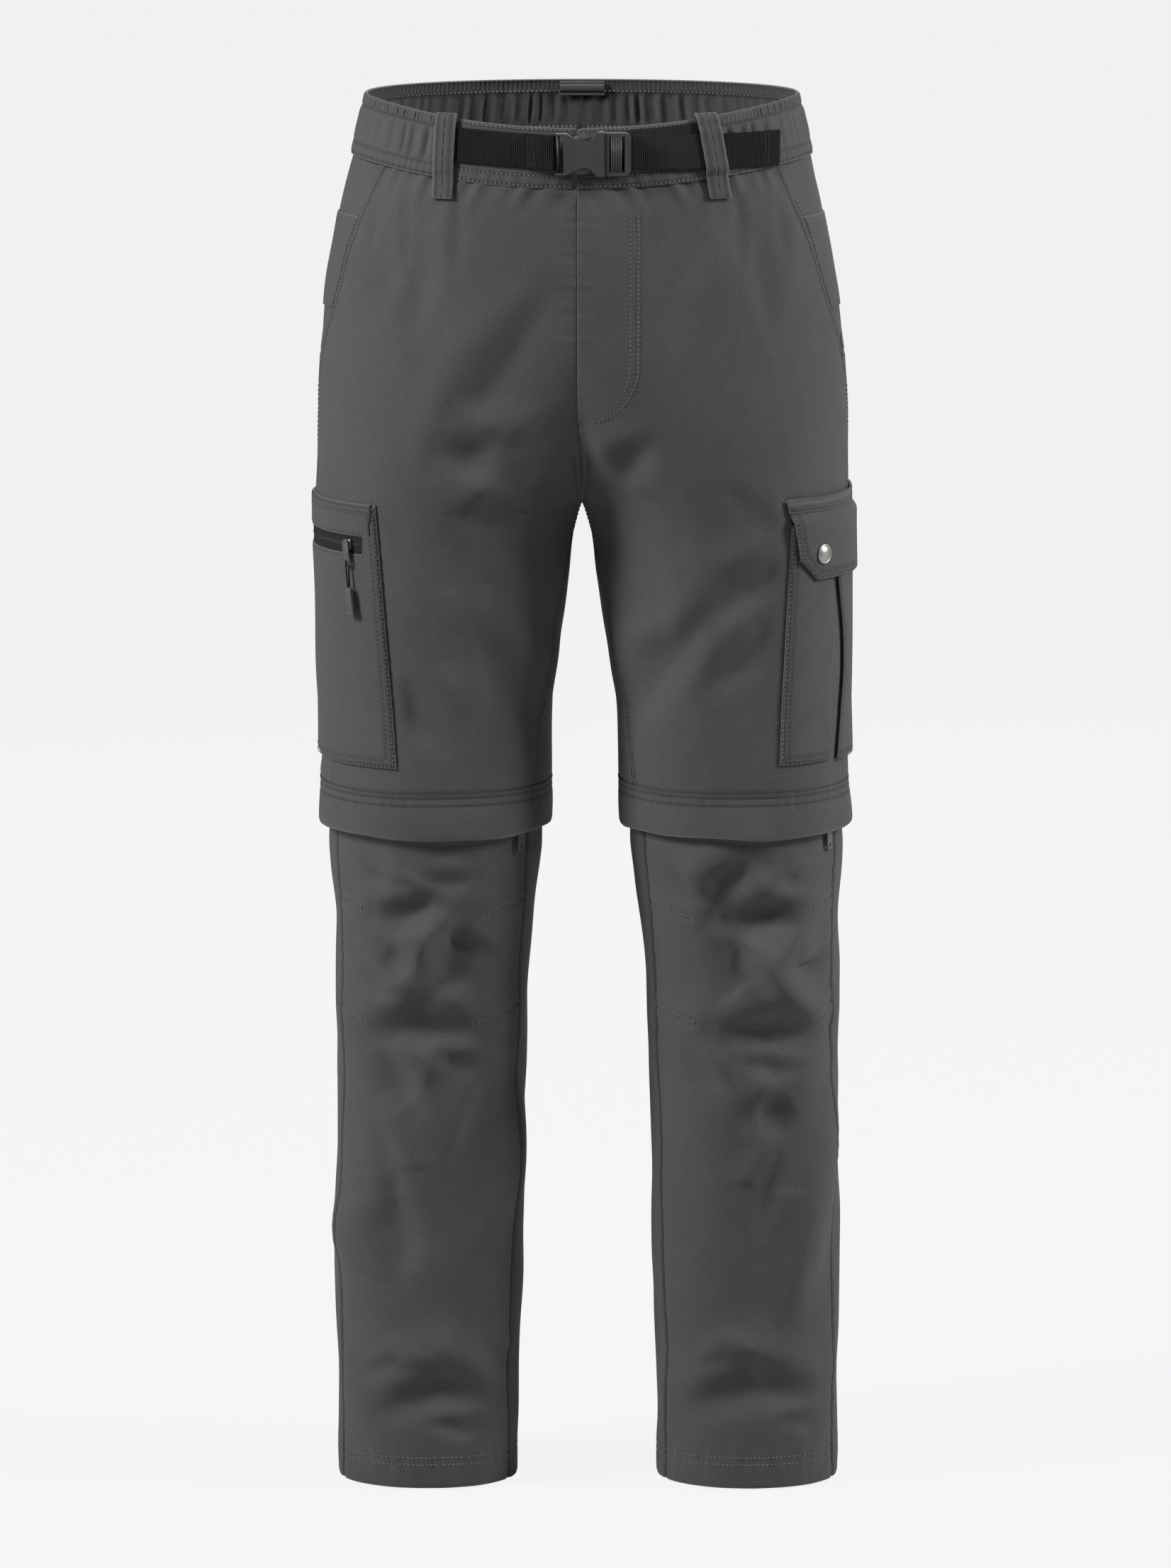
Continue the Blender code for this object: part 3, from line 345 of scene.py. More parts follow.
# %% Plastic and metal
def moulded_material(name, colour, roughness, size, amount, metallic=0.0, distance=0.00004):
    """Moulded or cast: an even fine grain in colour, gloss and surface."""
    tree, shader, place = start_material(name, roughness, metallic)
    skin_grain = use_group(tree, grain, Coordinates=place.outputs["Object"], Size=size, Amount=amount)
    cloud = use_group(tree, grain, Coordinates=place.outputs["Object"], Size=0.012, Amount=0.25)
    tree.links.new(tinted(tree, colour, skin_grain.outputs["Value"], cloud.outputs["Value"]),
                   shader.inputs["Base Color"])
    tree.links.new(math_node(tree, "MULTIPLY", cloud.outputs["Value"], roughness),
                   shader.inputs["Roughness"])
    bump(tree, shader, skin_grain.outputs["Value"], distance)


moulded_material("buckle plastic", (0.046, 0.046, 0.047), 0.50, 0.0006, 0.30)
moulded_material("grip plastic", (0.085, 0.085, 0.088), 0.48, 0.0008, 0.35)
moulded_material("dark nickel", (0.34, 0.34, 0.345), 0.34, 0.0010, 0.25, 1.0)
moulded_material("pewter", (0.50, 0.49, 0.47), 0.46, 0.0009, 0.22, 1.0)
moulded_material("zip coil", (0.030, 0.030, 0.031), 0.36, 0.0012, 0.20)
print("finishes:", sorted(MATERIALS))

# %% [markdown]
# ## The form of the trousers
# The cloth hangs on one smooth surface, described by level sections: each leg half is a rounded
# shape with an outer, middle and inner place, and a depth to the front and to the back. The
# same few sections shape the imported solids, and here they are sampled much finer.

# %% Sections and seams
WALL = 0.0012
SEAM = 0.0003
EXPONENT = 2.12
SECTION_COLUMNS = ("z", "outer", "middle", "inner", "front", "back")
SECTIONS = (
    (0.030, 0.1595, 0.0000, -0.1595, 0.109, 0.104),
    (-0.022, 0.1722, 0.0020, -0.1680, 0.114, 0.111),
    (-0.060, 0.1820, 0.0080, -0.1600, 0.118, 0.118),
    (-0.105, 0.1898, 0.0220, -0.1400, 0.120, 0.126),
    (-0.153, 0.1961, 0.0380, -0.1120, 0.120, 0.132),
    (-0.207, 0.2000, 0.0600, -0.0740, 0.117, 0.131),
    (-0.250, 0.2013, 0.0840, -0.0300, 0.112, 0.125),
    (-0.285, 0.2015, 0.1009, 0.0003, 0.106, 0.117),
    (-0.300, 0.2013, 0.1034, 0.0055, 0.104, 0.114),
    (-0.342, 0.2008, 0.1056, 0.0105, 0.101, 0.107),
    (-0.397, 0.2003, 0.1094, 0.0186, 0.098, 0.101),
    (-0.451, 0.1988, 0.1122, 0.0255, 0.096, 0.096),
    (-0.500, 0.1970, 0.1130, 0.0290, 0.095, 0.090),
    (-0.560, 0.1950, 0.1150, 0.0350, 0.093, 0.084),
    (-0.600, 0.1922, 0.1158, 0.0395, 0.091, 0.081),
    (-0.643, 0.1925, 0.1185, 0.0445, 0.088, 0.080),
    (-0.700, 0.1917, 0.1193, 0.0470, 0.083, 0.082),
    (-0.770, 0.1921, 0.1204, 0.0487, 0.077, 0.083),
    (-0.860, 0.1934, 0.1212, 0.0490, 0.071, 0.080),
    (-0.950, 0.1920, 0.1220, 0.0520, 0.066, 0.074),
    (-1.040, 0.1920, 0.1230, 0.0539, 0.062, 0.068),
)
SWAY = ((-0.28, 0.0), (-0.42, 0.0015), (-0.60, 0.0035), (-0.80, 0.0045), (-1.04, 0.0040))
OUTSEAM = ((0.03, -4), (-0.05, -4), (-0.19, 1), (-0.27, 12), (-0.40, 17), (-0.53, 23), (-0.60, 24),
           (-0.80, 21), (-1.04, 20))
INSEAM = ((-0.285, 180), (-0.32, 170), (-0.37, 162), (-0.45, 156), (-0.53, 150), (-0.60, 152),
          (-0.70, 156), (-0.80, 153), (-0.92, 152), (-1.04, 155))
SLANT = ((0.03, 33), (-0.023, 30), (-0.064, 25.5), (-0.101, 20.5), (-0.150, 12.5), (-0.186, 3.5))
SLANT_END = -0.190
CENTRE_SHIFT = -0.0035
WAIST_TOP_SIDE = 0.024
WAIST_DIP_FRONT = 0.016
BAND_HEIGHT = 0.045
UPPER_END = -0.5080
ZIP_END = -0.5220
HEM = -1.0400
POCKET_TOP = -0.2770
POCKET_END = -0.4770
POCKET_REAR = -38.0
ZIP_POCKET_X = (0.1540, 0.1404)
BAG_X = (0.1575, 0.1455)
SIDES = (("right", -1), ("left", 1))


# %% Curves through the tables
def smooth(value):
    value = np.clip(value, 0.0, 1.0)
    return value * value * (3 - 2 * value)


def along(table, z, column=1):
    """A column of a table at height z, on a smooth curve through its rows."""
    rows = np.array(table, float)[::-1]
    heights, values = rows[:, 0], rows[:, column]
    slopes = np.gradient(values, heights)
    z = np.clip(z, heights[0], heights[-1])
    row = np.clip(np.searchsorted(heights, z) - 1, 0, len(heights) - 2)
    gap = heights[row + 1] - heights[row]
    t = (z - heights[row]) / gap
    start = (2 * t**3 - 3 * t**2 + 1) * values[row] + (t**3 - 2 * t**2 + t) * gap * slopes[row]
    end = (3 * t**2 - 2 * t**3) * values[row + 1] + (t**3 - t**2) * gap * slopes[row + 1]
    return start + end


def section(z):
    return {name: along(SECTIONS, z, i) for i, name in enumerate(SECTION_COLUMNS) if i}


def power(value):
    return np.sign(value) * np.abs(value) ** (2 / EXPONENT)


def form(t, z):
    """Points of a half at t degrees and height z: 0 is its outer side and 90 its front."""
    size = section(z)
    cos, sin = power(np.cos(np.radians(t))), power(np.sin(np.radians(t)))
    reach = np.where(cos > 0, size["outer"] - size["middle"], size["middle"] - size["inner"])
    depth = np.where(sin > 0, size["front"], size["back"])
    return np.stack([size["middle"] + reach * cos, -depth * sin, z + 0 * t], axis=-1)


def outward(t, z):
    """The form's outward normals."""
    step_t, step_z = 0.6, 0.002
    round_it = form(t + step_t, z) - form(t - step_t, z)
    down_it = form(t, z - step_z) - form(t, z + step_z)
    normal = np.cross(down_it, round_it)
    normal /= np.linalg.norm(normal, axis=-1, keepdims=True)
    angle = np.radians(t)
    facing = np.stack([np.cos(angle), -np.sin(angle), 0 * angle], axis=-1)
    return np.where(np.sum(normal * facing, axis=-1, keepdims=True) < 0, -normal, normal)


def girth(z):
    """Metres round the outer side for each degree."""
    size = section(z)
    return (size["front"] + size["back"]) * math.pi / 360


def centre(z, face):
    """The angle at which a half meets the centre plane, or the inseam below the crotch."""
    size = section(z)
    ratio = np.clip(size["middle"] / (size["middle"] - size["inner"]), 0, 1)
    angle = np.degrees(np.arccos(-(ratio ** (EXPONENT / 2))))
    inseam = np.where(z < INSEAM[0][0], along(INSEAM, z), 180.0)
    if face == "front":
        return np.where(ratio >= 1, inseam, np.minimum(angle, 180))
    return np.where(ratio >= 1, inseam, np.maximum(360 - angle, 180)) - 360


def front_x(half_x, z):
    """The angle at which the front of a half lies half_x metres from the centre plane."""
    size = section(z)
    offset = half_x - size["middle"]
    reach = np.where(offset > 0, size["outer"] - size["middle"], size["middle"] - size["inner"])
    ratio = np.clip(offset / reach, -1, 1)
    return np.degrees(np.arccos(np.sign(ratio) * np.abs(ratio) ** (EXPONENT / 2)))


def band_top(t):
    front = np.clip(np.sin(np.radians(t)), 0, 1) ** 2.6
    return WAIST_TOP_SIDE - WAIST_DIP_FRONT * front


def below_band(t):
    return band_top(t) - BAND_HEIGHT


# %% [markdown]
# ## Folds and creases
# The large folds are those of the solids: at the thighs, over and under the knees and above the
# hems. Each is a soft trough or ridge along a bent line. Smaller creases are added here, with a
# low ridge beside each trough where the cloth piles up, and then a faint
# unevenness so that no stretch of cloth is perfectly smooth.

# %% Fold tables
FOLD_COLUMNS = ("half", "face", "x1", "z1", "x2", "z2", "x3", "z3", "rise", "width")
FOLDS = (
    (-1, "front", -0.022, -0.118, -0.060, -0.182, -0.100, -0.226, -0.0040, 0.017),
    (-1, "front", -0.100, -0.234, -0.081, -0.236, -0.057, -0.228, -0.0045, 0.015),
    (-1, "front", -0.062, -0.262, -0.080, -0.262, -0.098, -0.256, 0.0030, 0.014),
    (-1, "front", -0.049, -0.277, -0.067, -0.284, -0.086, -0.286, -0.0032, 0.013),
    (-1, "front", -0.042, -0.454, -0.056, -0.415, -0.081, -0.371, -0.0040, 0.017),
    (-1, "front", -0.136, -0.407, -0.123, -0.436, -0.108, -0.457, -0.0038, 0.018),
    (-1, "front", -0.138, -0.060, -0.141, -0.090, -0.145, -0.125, -0.0022, 0.012),
    (-1, "front", -0.116, -0.056, -0.117, -0.099, -0.122, -0.147, -0.0020, 0.013),
    (-1, "front", -0.157, -0.594, -0.134, -0.590, -0.113, -0.581, -0.0040, 0.014),
    (-1, "front", -0.153, -0.618, -0.142, -0.626, -0.133, -0.634, -0.0035, 0.014),
    (-1, "front", -0.088, -0.591, -0.105, -0.630, -0.124, -0.656, -0.0040, 0.015),
    (-1, "front", -0.166, -0.686, -0.127, -0.676, -0.088, -0.682, -0.0045, 0.017),
    (-1, "front", -0.162, -0.699, -0.146, -0.721, -0.132, -0.736, -0.0040, 0.016),
    (-1, "front", -0.048, -0.743, -0.059, -0.791, -0.073, -0.843, 0.0030, 0.016),
    (-1, "front", -0.146, -0.810, -0.146, -0.841, -0.143, -0.871, -0.0035, 0.020),
    (-1, "front", -0.156, -0.981, -0.113, -0.962, -0.071, -0.971, -0.0035, 0.016),
    (1, "front", 0.047, -0.231, 0.038, -0.245, 0.028, -0.258, -0.0040, 0.013),
    (1, "front", 0.149, -0.323, 0.116, -0.347, 0.087, -0.370, -0.0040, 0.016),
    (1, "front", 0.087, -0.371, 0.058, -0.402, 0.042, -0.437, -0.0045, 0.016),
    (1, "front", 0.146, -0.361, 0.122, -0.391, 0.098, -0.417, -0.0038, 0.015),
    (1, "front", 0.132, -0.057, 0.136, -0.095, 0.140, -0.137, -0.0022, 0.012),
    (1, "front", 0.073, -0.056, 0.076, -0.098, 0.073, -0.145, -0.0020, 0.014),
    (1, "front", 0.125, -0.552, 0.106, -0.572, 0.097, -0.588, -0.0045, 0.015),
    (1, "front", 0.099, -0.592, 0.127, -0.594, 0.159, -0.589, -0.0045, 0.014),
    (1, "front", 0.169, -0.589, 0.138, -0.630, 0.169, -0.670, 0.0035, 0.014),
    (1, "front", 0.098, -0.681, 0.142, -0.684, 0.180, -0.690, -0.0045, 0.016),
    (1, "front", 0.156, -0.737, 0.142, -0.746, 0.127, -0.748, -0.0038, 0.016),
    (1, "front", 0.186, -0.745, 0.173, -0.810, 0.156, -0.900, 0.0034, 0.018),
    (1, "front", 0.077, -0.980, 0.125, -0.960, 0.175, -0.969, -0.0035, 0.016),
    (-1, "back", -0.040, -0.225, -0.085, -0.262, -0.140, -0.275, -0.0045, 0.020),
    (-1, "back", -0.050, -0.345, -0.105, -0.375, -0.160, -0.370, -0.0040, 0.020),
    (-1, "back", -0.150, -0.590, -0.110, -0.605, -0.060, -0.595, -0.0055, 0.019),
    (-1, "back", -0.155, -0.650, -0.105, -0.660, -0.060, -0.640, -0.0050, 0.019),
    (-1, "back", -0.070, -0.760, -0.110, -0.810, -0.150, -0.850, -0.0040, 0.020),
    (-1, "back", -0.155, -0.965, -0.115, -0.985, -0.075, -0.965, -0.0035, 0.018),
    (1, "back", 0.045, -0.230, 0.095, -0.258, 0.145, -0.280, -0.0045, 0.020),
    (1, "back", 0.055, -0.360, 0.110, -0.380, 0.165, -0.360, -0.0040, 0.020),
    (1, "back", 0.155, -0.585, 0.115, -0.600, 0.065, -0.598, -0.0055, 0.019),
    (1, "back", 0.160, -0.640, 0.110, -0.658, 0.065, -0.648, -0.0050, 0.019),
    (1, "back", 0.150, -0.745, 0.115, -0.800, 0.080, -0.850, -0.0040, 0.020),
    (1, "back", 0.160, -0.960, 0.120, -0.982, 0.080, -0.968, -0.0035, 0.018),
)
CREASES = (
    # Finer lines, front: under the waistband, at the crotch, thighs, knees, shins and hems
    (-1, "front", -0.150, -0.050, -0.152, -0.068, -0.156, -0.086, -0.0010, 0.005),
    (-1, "front", -0.127, -0.046, -0.128, -0.066, -0.130, -0.092, -0.0011, 0.006),
    (-1, "front", -0.090, -0.048, -0.088, -0.070, -0.090, -0.100, -0.0008, 0.006),
    (1, "front", 0.118, -0.048, 0.120, -0.070, 0.121, -0.094, -0.0011, 0.006),
    (1, "front", 0.146, -0.050, 0.150, -0.070, 0.153, -0.090, -0.0010, 0.005),
    (1, "front", 0.090, -0.050, 0.091, -0.078, 0.086, -0.110, -0.0010, 0.006),
    (1, "front", 0.058, -0.056, 0.060, -0.080, 0.062, -0.112, -0.0010, 0.005),
    (-1, "front", -0.010, -0.205, -0.030, -0.222, -0.052, -0.236, -0.0014, 0.008),
    (-1, "front", -0.010, -0.250, -0.028, -0.262, -0.046, -0.266, -0.0013, 0.007),
    (1, "front", 0.016, -0.222, 0.034, -0.232, 0.056, -0.236, -0.0013, 0.007),
    (1, "front", 0.014, -0.258, 0.032, -0.272, 0.050, -0.276, -0.0014, 0.007),
    (-1, "front", -0.098, -0.300, -0.084, -0.336, -0.076, -0.372, -0.0012, 0.011),
    (1, "front", 0.108, -0.262, 0.128, -0.284, 0.146, -0.300, -0.0012, 0.010),
    (1, "front", 0.046, -0.310, 0.056, -0.346, 0.060, -0.380, -0.0012, 0.010),
    (-1, "front", -0.165, -0.556, -0.150, -0.566, -0.132, -0.568, -0.0016, 0.007),
    (-1, "front", -0.120, -0.560, -0.102, -0.566, -0.088, -0.562, -0.0013, 0.008),
    (-1, "front", -0.168, -0.640, -0.156, -0.650, -0.140, -0.652, -0.0016, 0.007),
    (-1, "front", -0.104, -0.606, -0.086, -0.618, -0.070, -0.622, -0.0016, 0.008),
    (-1, "front", -0.112, -0.700, -0.096, -0.708, -0.078, -0.706, -0.0016, 0.009),
    (-1, "front", -0.076, -0.720, -0.082, -0.752, -0.096, -0.780, -0.0012, 0.010),
    (-1, "front", -0.160, -0.760, -0.150, -0.790, -0.146, -0.812, -0.0011, 0.009),
    (-1, "front", -0.166, -0.950, -0.146, -0.944, -0.126, -0.948, -0.0014, 0.008),
    (-1, "front", -0.120, -0.990, -0.094, -0.994, -0.074, -0.988, -0.0013, 0.007),
    (-1, "front", -0.078, -0.930, -0.066, -0.944, -0.060, -0.962, -0.0012, 0.008),
    (1, "front", 0.180, -0.560, 0.164, -0.568, 0.146, -0.566, -0.0015, 0.007),
    (1, "front", 0.066, -0.560, 0.080, -0.574, 0.094, -0.580, -0.0014, 0.008),
    (1, "front", 0.110, -0.616, 0.124, -0.636, 0.136, -0.652, -0.0017, 0.009),
    (1, "front", 0.182, -0.622, 0.170, -0.632, 0.160, -0.634, -0.0016, 0.008),
    (1, "front", 0.118, -0.704, 0.140, -0.712, 0.164, -0.712, -0.0016, 0.009),
    (1, "front", 0.076, -0.700, 0.086, -0.716, 0.100, -0.726, -0.0015, 0.009),
    (1, "front", 0.146, -0.774, 0.136, -0.802, 0.132, -0.836, -0.0012, 0.010),
    (1, "front", 0.086, -0.944, 0.106, -0.938, 0.130, -0.942, -0.0013, 0.008),
    (1, "front", 0.150, -0.988, 0.170, -0.992, 0.184, -0.986, -0.0013, 0.007),
    # Similar ones on the backs and inner sides
    (-1, "back", -0.020, -0.250, -0.060, -0.292, -0.110, -0.305, -0.0022, 0.011),
    (-1, "back", -0.060, -0.400, -0.100, -0.420, -0.145, -0.414, -0.0018, 0.012),
    (-1, "back", -0.160, -0.560, -0.120, -0.572, -0.070, -0.566, -0.0024, 0.010),
    (-1, "back", -0.150, -0.622, -0.110, -0.628, -0.075, -0.620, -0.0026, 0.010),
    (-1, "back", -0.150, -0.690, -0.110, -0.700, -0.080, -0.690, -0.0020, 0.011),
    (-1, "back", -0.120, -0.880, -0.100, -0.920, -0.092, -0.950, -0.0016, 0.012),
    (1, "back", 0.020, -0.252, 0.064, -0.290, 0.115, -0.308, -0.0022, 0.011),
    (1, "back", 0.065, -0.410, 0.110, -0.426, 0.150, -0.410, -0.0018, 0.012),
    (1, "back", 0.160, -0.556, 0.118, -0.570, 0.070, -0.568, -0.0024, 0.010),
    (1, "back", 0.155, -0.618, 0.112, -0.630, 0.076, -0.624, -0.0026, 0.010),
    (1, "back", 0.150, -0.684, 0.118, -0.696, 0.084, -0.692, -0.0020, 0.011),
    (1, "back", 0.130, -0.876, 0.112, -0.912, 0.100, -0.946, -0.0016, 0.012),
)
PILE_SHARE = 0.30
FOLD_TIGHTNESS = 0.84
KNEE_GAIN = 0.72
WAVES = [(rng.normal(size=3) * scale, rng.uniform(0, 2 * math.pi), height)
         for scale, height in ((28.0, 0.00040), (28.0, 0.00040), (45.0, 0.00030), (45.0, 0.00030),
                               (80.0, 0.00018), (80.0, 0.00018), (140.0, 0.00009), (140.0, 0.00009))]
print("folds:", len(FOLDS), "large,", len(CREASES), "small")


# %% The cloth's surface
def clear_of_pockets(half, points):
    """0 under the thigh pocket and 1 away from it: cloth stays smooth under a pocket."""
    z = points[..., 2]
    top, end = ZIP_POCKET_X if half < 0 else BAG_X
    pocket = top + (end - top) * (POCKET_TOP - z) / (POCKET_TOP - POCKET_END) - 0.002
    return np.maximum(smooth((pocket - points[..., 0]) / 0.014),
                      np.maximum(smooth((z - POCKET_TOP) / 0.014),
                                 smooth((POCKET_END - 0.004 - z) / 0.012)))


def pressed(half, points, t):
    """How far folds and creases lift each point of a half, in metres."""
    x, z = half * points[..., 0], points[..., 2]
    rise = np.zeros_like(x)
    faces = {"front": smooth(np.sin(np.radians(t)) * 3.0), "back": smooth(-np.sin(np.radians(t)) * 3.0)}
    for table, pile, fold_gain in ((FOLDS, PILE_SHARE, 1.15), (CREASES, PILE_SHARE, 1.3)):
        for fold in table:
            row = dict(zip(FOLD_COLUMNS, fold))
            if row["half"] != half:
                continue
            near, above, place = np.full(x.shape, 1.0), np.zeros(x.shape), np.zeros(x.shape)
            for number, (a, b) in enumerate((("1", "2"), ("2", "3"))):
                start = np.array([row["x" + a], row["z" + a]])
                run = np.array([row["x" + b], row["z" + b]]) - start
                part = np.clip(((x - start[0]) * run[0] + (z - start[1]) * run[1]) / run.dot(run), 0, 1)
                gap = np.stack([x - start[0] - part * run[0], z - start[1] - part * run[1]])
                up = np.array([-run[1], run[0]]) / np.linalg.norm(run)
                up *= -1 if up[1] + 0.3 * half * up[0] < 0 else 1
                away = np.hypot(*gap)
                above = np.where(away < near, (gap[0] * up[0] + gap[1] * up[1]) / np.maximum(away, 1e-6), above)
                place = np.where(away < near, number + part - 1, place)
                near = np.minimum(near, away)
            near /= row["width"] * FOLD_TIGHTNESS * (1.25 - 0.45 * np.abs(place))
            gain = fold_gain * (1 + KNEE_GAIN * (row["z2"] < ZIP_END)) * (1.15 - 0.85 * np.abs(place) ** 2.2)
            line = np.exp(-near**2) - pile * (1 + above) * np.exp(-(((near - 1.8) / 1.1) ** 2))
            rise += faces[row["face"]] * row["rise"] * line * gain
    return rise * clear_of_pockets(half, points)


def unevenness(points):
    rise = np.zeros(points.shape[:-1])
    for direction, phase, height in WAVES:
        rise += height * np.sin(points @ direction + phase)
    return rise


THIGH_FLARE = ((-0.5335, 0.0), (-0.5300, 0.0032), (-0.4955, 0.0032), (-0.4650, 0.0016), (-0.4350, 0.0))


def skin(half, t, z, lift=0.0):
    """World points on a half, lift metres outside the cloth's outer face."""
    t, z = np.broadcast_arrays(np.asarray(t, float), np.asarray(z, float))
    points = form(t, z)
    faint = unevenness(points * np.array([half, 1, 1])) * smooth((below_band(t) - z) / 0.02)
    rise = pressed(half, points, t) + faint * clear_of_pockets(half, points) + lift
    rise = rise + np.interp(z, *np.transpose(THIGH_FLARE))
    points = points + outward(t, z) * np.asarray(rise)[..., None]
    points[..., 0] = np.maximum(points[..., 0], SEAM / 2) * half + along(SWAY, z)
    shift = smooth(np.sin(np.radians(t))) ** 3 * smooth((z + 0.27) / 0.07)
    points[..., 0] += CENTRE_SHIFT * shift
    return points


def under_flare(z, lift):
    """A lift measured from the leg without the thigh's flare, for the zip under the knee flap."""
    return lift - np.interp(z, *np.transpose(THIGH_FLARE))


def out_of(half, t, z):
    """World directions out of the cloth."""
    t, z = np.broadcast_arrays(np.asarray(t, float), np.asarray(z, float))
    return outward(t, z) * np.array([half, 1, 1])


# %% [markdown]
# ## Cutting cloth
# A piece of cloth starts as a flat grid and is laid on the form, then gets its thickness with a
# Solidify modifier, as a real panel is cut and sewn round the body. Columns and rows crowd near
# the edges, because that is where an edge turns under and where the stitching presses it down.

# %% Shell helpers
ROLL = 0.0011
EDGE_STEPS = np.array([0.0, 0.0005, 0.0011, 0.0017, 0.0024, 0.0036, 0.0054, 0.0066, 0.0073, 0.0082])


def lengths(points, axis):
    """Running length along rows (axis 1) or columns (axis 0) of a grid of points."""
    steps = np.linalg.norm(np.diff(points, axis=axis), axis=-1)
    zero = np.zeros_like(np.take(steps, [0], axis=axis))
    return np.concatenate([zero, np.cumsum(steps, axis=axis)], axis=axis)


def crowded(count, length, edges=(True, True)):
    """Shares from 0 to 1, with finer steps within a few millimetres of the chosen ends."""
    steps = EDGE_STEPS / length
    start = steps if edges[0] else steps[:1]
    end = 1 - steps[::-1] if edges[1] else 1 - steps[:1]
    return np.concatenate([start[:-1], np.linspace(start[-1], end[0], count), end[1:]])


def add_piece(name, bm, material, body="trousers", replaces=(), thickness=0.0):
    mesh = bpy.data.meshes.new(name)
    bm.to_mesh(mesh)
    bm.free()
    mesh.shade_smooth()
    mesh.materials.append(MATERIALS[material])
    obj = bpy.data.objects.new(name, mesh)
    scene.collection.objects.link(obj)
    if thickness:
        wall = obj.modifiers.new("thickness", "SOLIDIFY")
        wall.thickness = thickness
        wall.offset = -1.0
    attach(obj, body)
    if replaces:
        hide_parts(*replaces)
    return obj


def shell(name, half, points, t, z, edge=None, material="charcoal cloth", thickness=WALL,
          replaces=(), cut=None, painted_channel_shade=None):
    """Cloth laid on a grid of points, with UVs in metres, an attribute for its lighter edges,
    rubbed pale and with a painted highlight, an attribute for painted shade in the channels of
    rows and seams and, where cut marks cells of the grid, a window."""
    rows, columns = points.shape[:2]
    bm = bmesh.new()
    made = bmesh.ops.create_grid(bm, x_segments=columns - 1, y_segments=rows - 1, size=1)
    for vertex, point in zip(made["verts"], points.reshape(-1, 3)):
        vertex.co = point
    bm.normal_update()
    middle = bm.faces[:][len(bm.faces) // 2]
    out = out_of(half, t, z).reshape(rows, columns, 3)[rows // 2, columns // 2]
    if middle.normal.dot(Vector(out)) < 0:
        bmesh.ops.reverse_faces(bm, faces=bm.faces)
    obj = add_piece(name, bm, material, replaces=replaces, thickness=thickness)
    mesh = obj.data
    u, v = lengths(points, 1), lengths(points, 0)
    flat_uv = np.stack([u, v], axis=-1).reshape(-1, 2)
    corner = np.zeros(len(mesh.loops), np.int32)
    mesh.loops.foreach_get("vertex_index", corner)
    layer = mesh.uv_layers.new(name="metres")
    layer.data.foreach_set("uv", flat_uv[corner].astype(np.float32).ravel())
    # The edge attribute: lighter colour at folded edges, partly rubbed pale and partly a painted highlight.
    worn_and_lit = mesh.attributes.new("edge", "FLOAT", "POINT")
    worn_and_lit.data.foreach_set("value", (np.zeros(rows * columns) if edge is None else edge.ravel())
                          .astype(np.float32))
    # Painted shade: the channel attribute darkens the cloth's colour in the channels of rows and seams.
    shade = mesh.attributes.new("channel", "FLOAT", "POINT")
    shade.data.foreach_set("value", (np.zeros(rows * columns) if painted_channel_shade is None else painted_channel_shade.ravel())
                           .astype(np.float32))
    if cut is not None:
        bm = bmesh.new()
        bm.from_mesh(mesh)
        bm.faces.ensure_lookup_table()
        window = [bm.faces[int(cell)] for cell in np.flatnonzero(cut)]
        bmesh.ops.delete(bm, geom=window, context="FACES")
        bm.to_mesh(mesh)
        bm.free()
    return obj


# %% Seam relief
def turned(*distances, depth=ROLL, width=0.0012):
    """How an edge rolls under: deepest at the edge, and gone a few widths inside."""
    near = np.minimum.reduce([np.abs(d) for d in distances])
    return -depth * np.exp(-((near / width) ** 2))


def stitched(distance, depth=0.00030, width=0.0009):
    """The channel that a row of stitches presses into the cloth."""
    return -depth * np.exp(-((distance / width) ** 2))


def channel(*distances, strength=0.75, width=0.0010):
    """Shade in the channels of rows and seams, from 0 to 1."""
    near = np.minimum.reduce([np.abs(d) for d in distances])
    return strength * np.exp(-((near / width) ** 2))


def puckers(along_it, distance, height=0.00022, wave=0.0085, reach=0.009):
    """Small waves across a seam, as sewing draws the cloth together."""
    phase = 2 * math.pi * along_it / wave
    uneven = np.sin(phase) + 0.6 * np.sin(phase * 0.618 + 1.3) + 0.4 * np.sin(phase * 1.45 + 0.4)
    return height * uneven * np.exp(-((distance / reach) ** 2))


# How strongly an edge is lightened: partly rubbed pale, partly a painted highlight where light catches the rolled
# edge.
def worn_and_lit_edge(*distances, width=0.0011):
    near = np.minimum.reduce([np.abs(d) for d in distances])
    return np.exp(-((near / width) ** 2))

# %% [markdown]
# ## Sewing
# Topstitching is what makes flat cloth read as a garment. Each stitch is a small rounded bead of
# thread, laid along a line on the cloth at a real stitch length of about three millimetres. A
# row is given by angles and heights on a half, so it follows every fold that it crosses.

# %% Sewing helpers
STITCH_PITCH = 0.0034
STITCH_LENGTH = 0.0024
STITCH_WIDTH = 0.00090
STITCH_HEIGHT = 0.00080
ROWS_SEWN = {}


def sew(name, half, t, z, lift=0.0, pitch=STITCH_PITCH, thread="light thread"):
    """Adds one row of stitches to the named seam. Rows of one seam become one piece."""
    t, z = np.broadcast_arrays(np.asarray(t, float), np.asarray(z, float))
    lift = np.broadcast_to(np.asarray(lift, float), t.shape)
    points, out = skin(half, t, z, lift), out_of(half, t, z)
    run = np.concatenate([[0], np.cumsum(np.linalg.norm(np.diff(points, axis=0), axis=1))])
    count = max(1, int(run[-1] / pitch))
    middles = (np.arange(count) + 0.5) * run[-1] / count
    ends = [np.stack([np.interp(middles + side * STITCH_LENGTH / 2, run, points[:, k]) for k in range(3)],
                     axis=1) for side in (-1, 1)]
    outs = np.stack([np.interp(middles, run, out[:, k]) for k in range(3)], axis=1)
    ROWS_SEWN.setdefault((name, thread), []).append((ends[0], ends[1], outs))


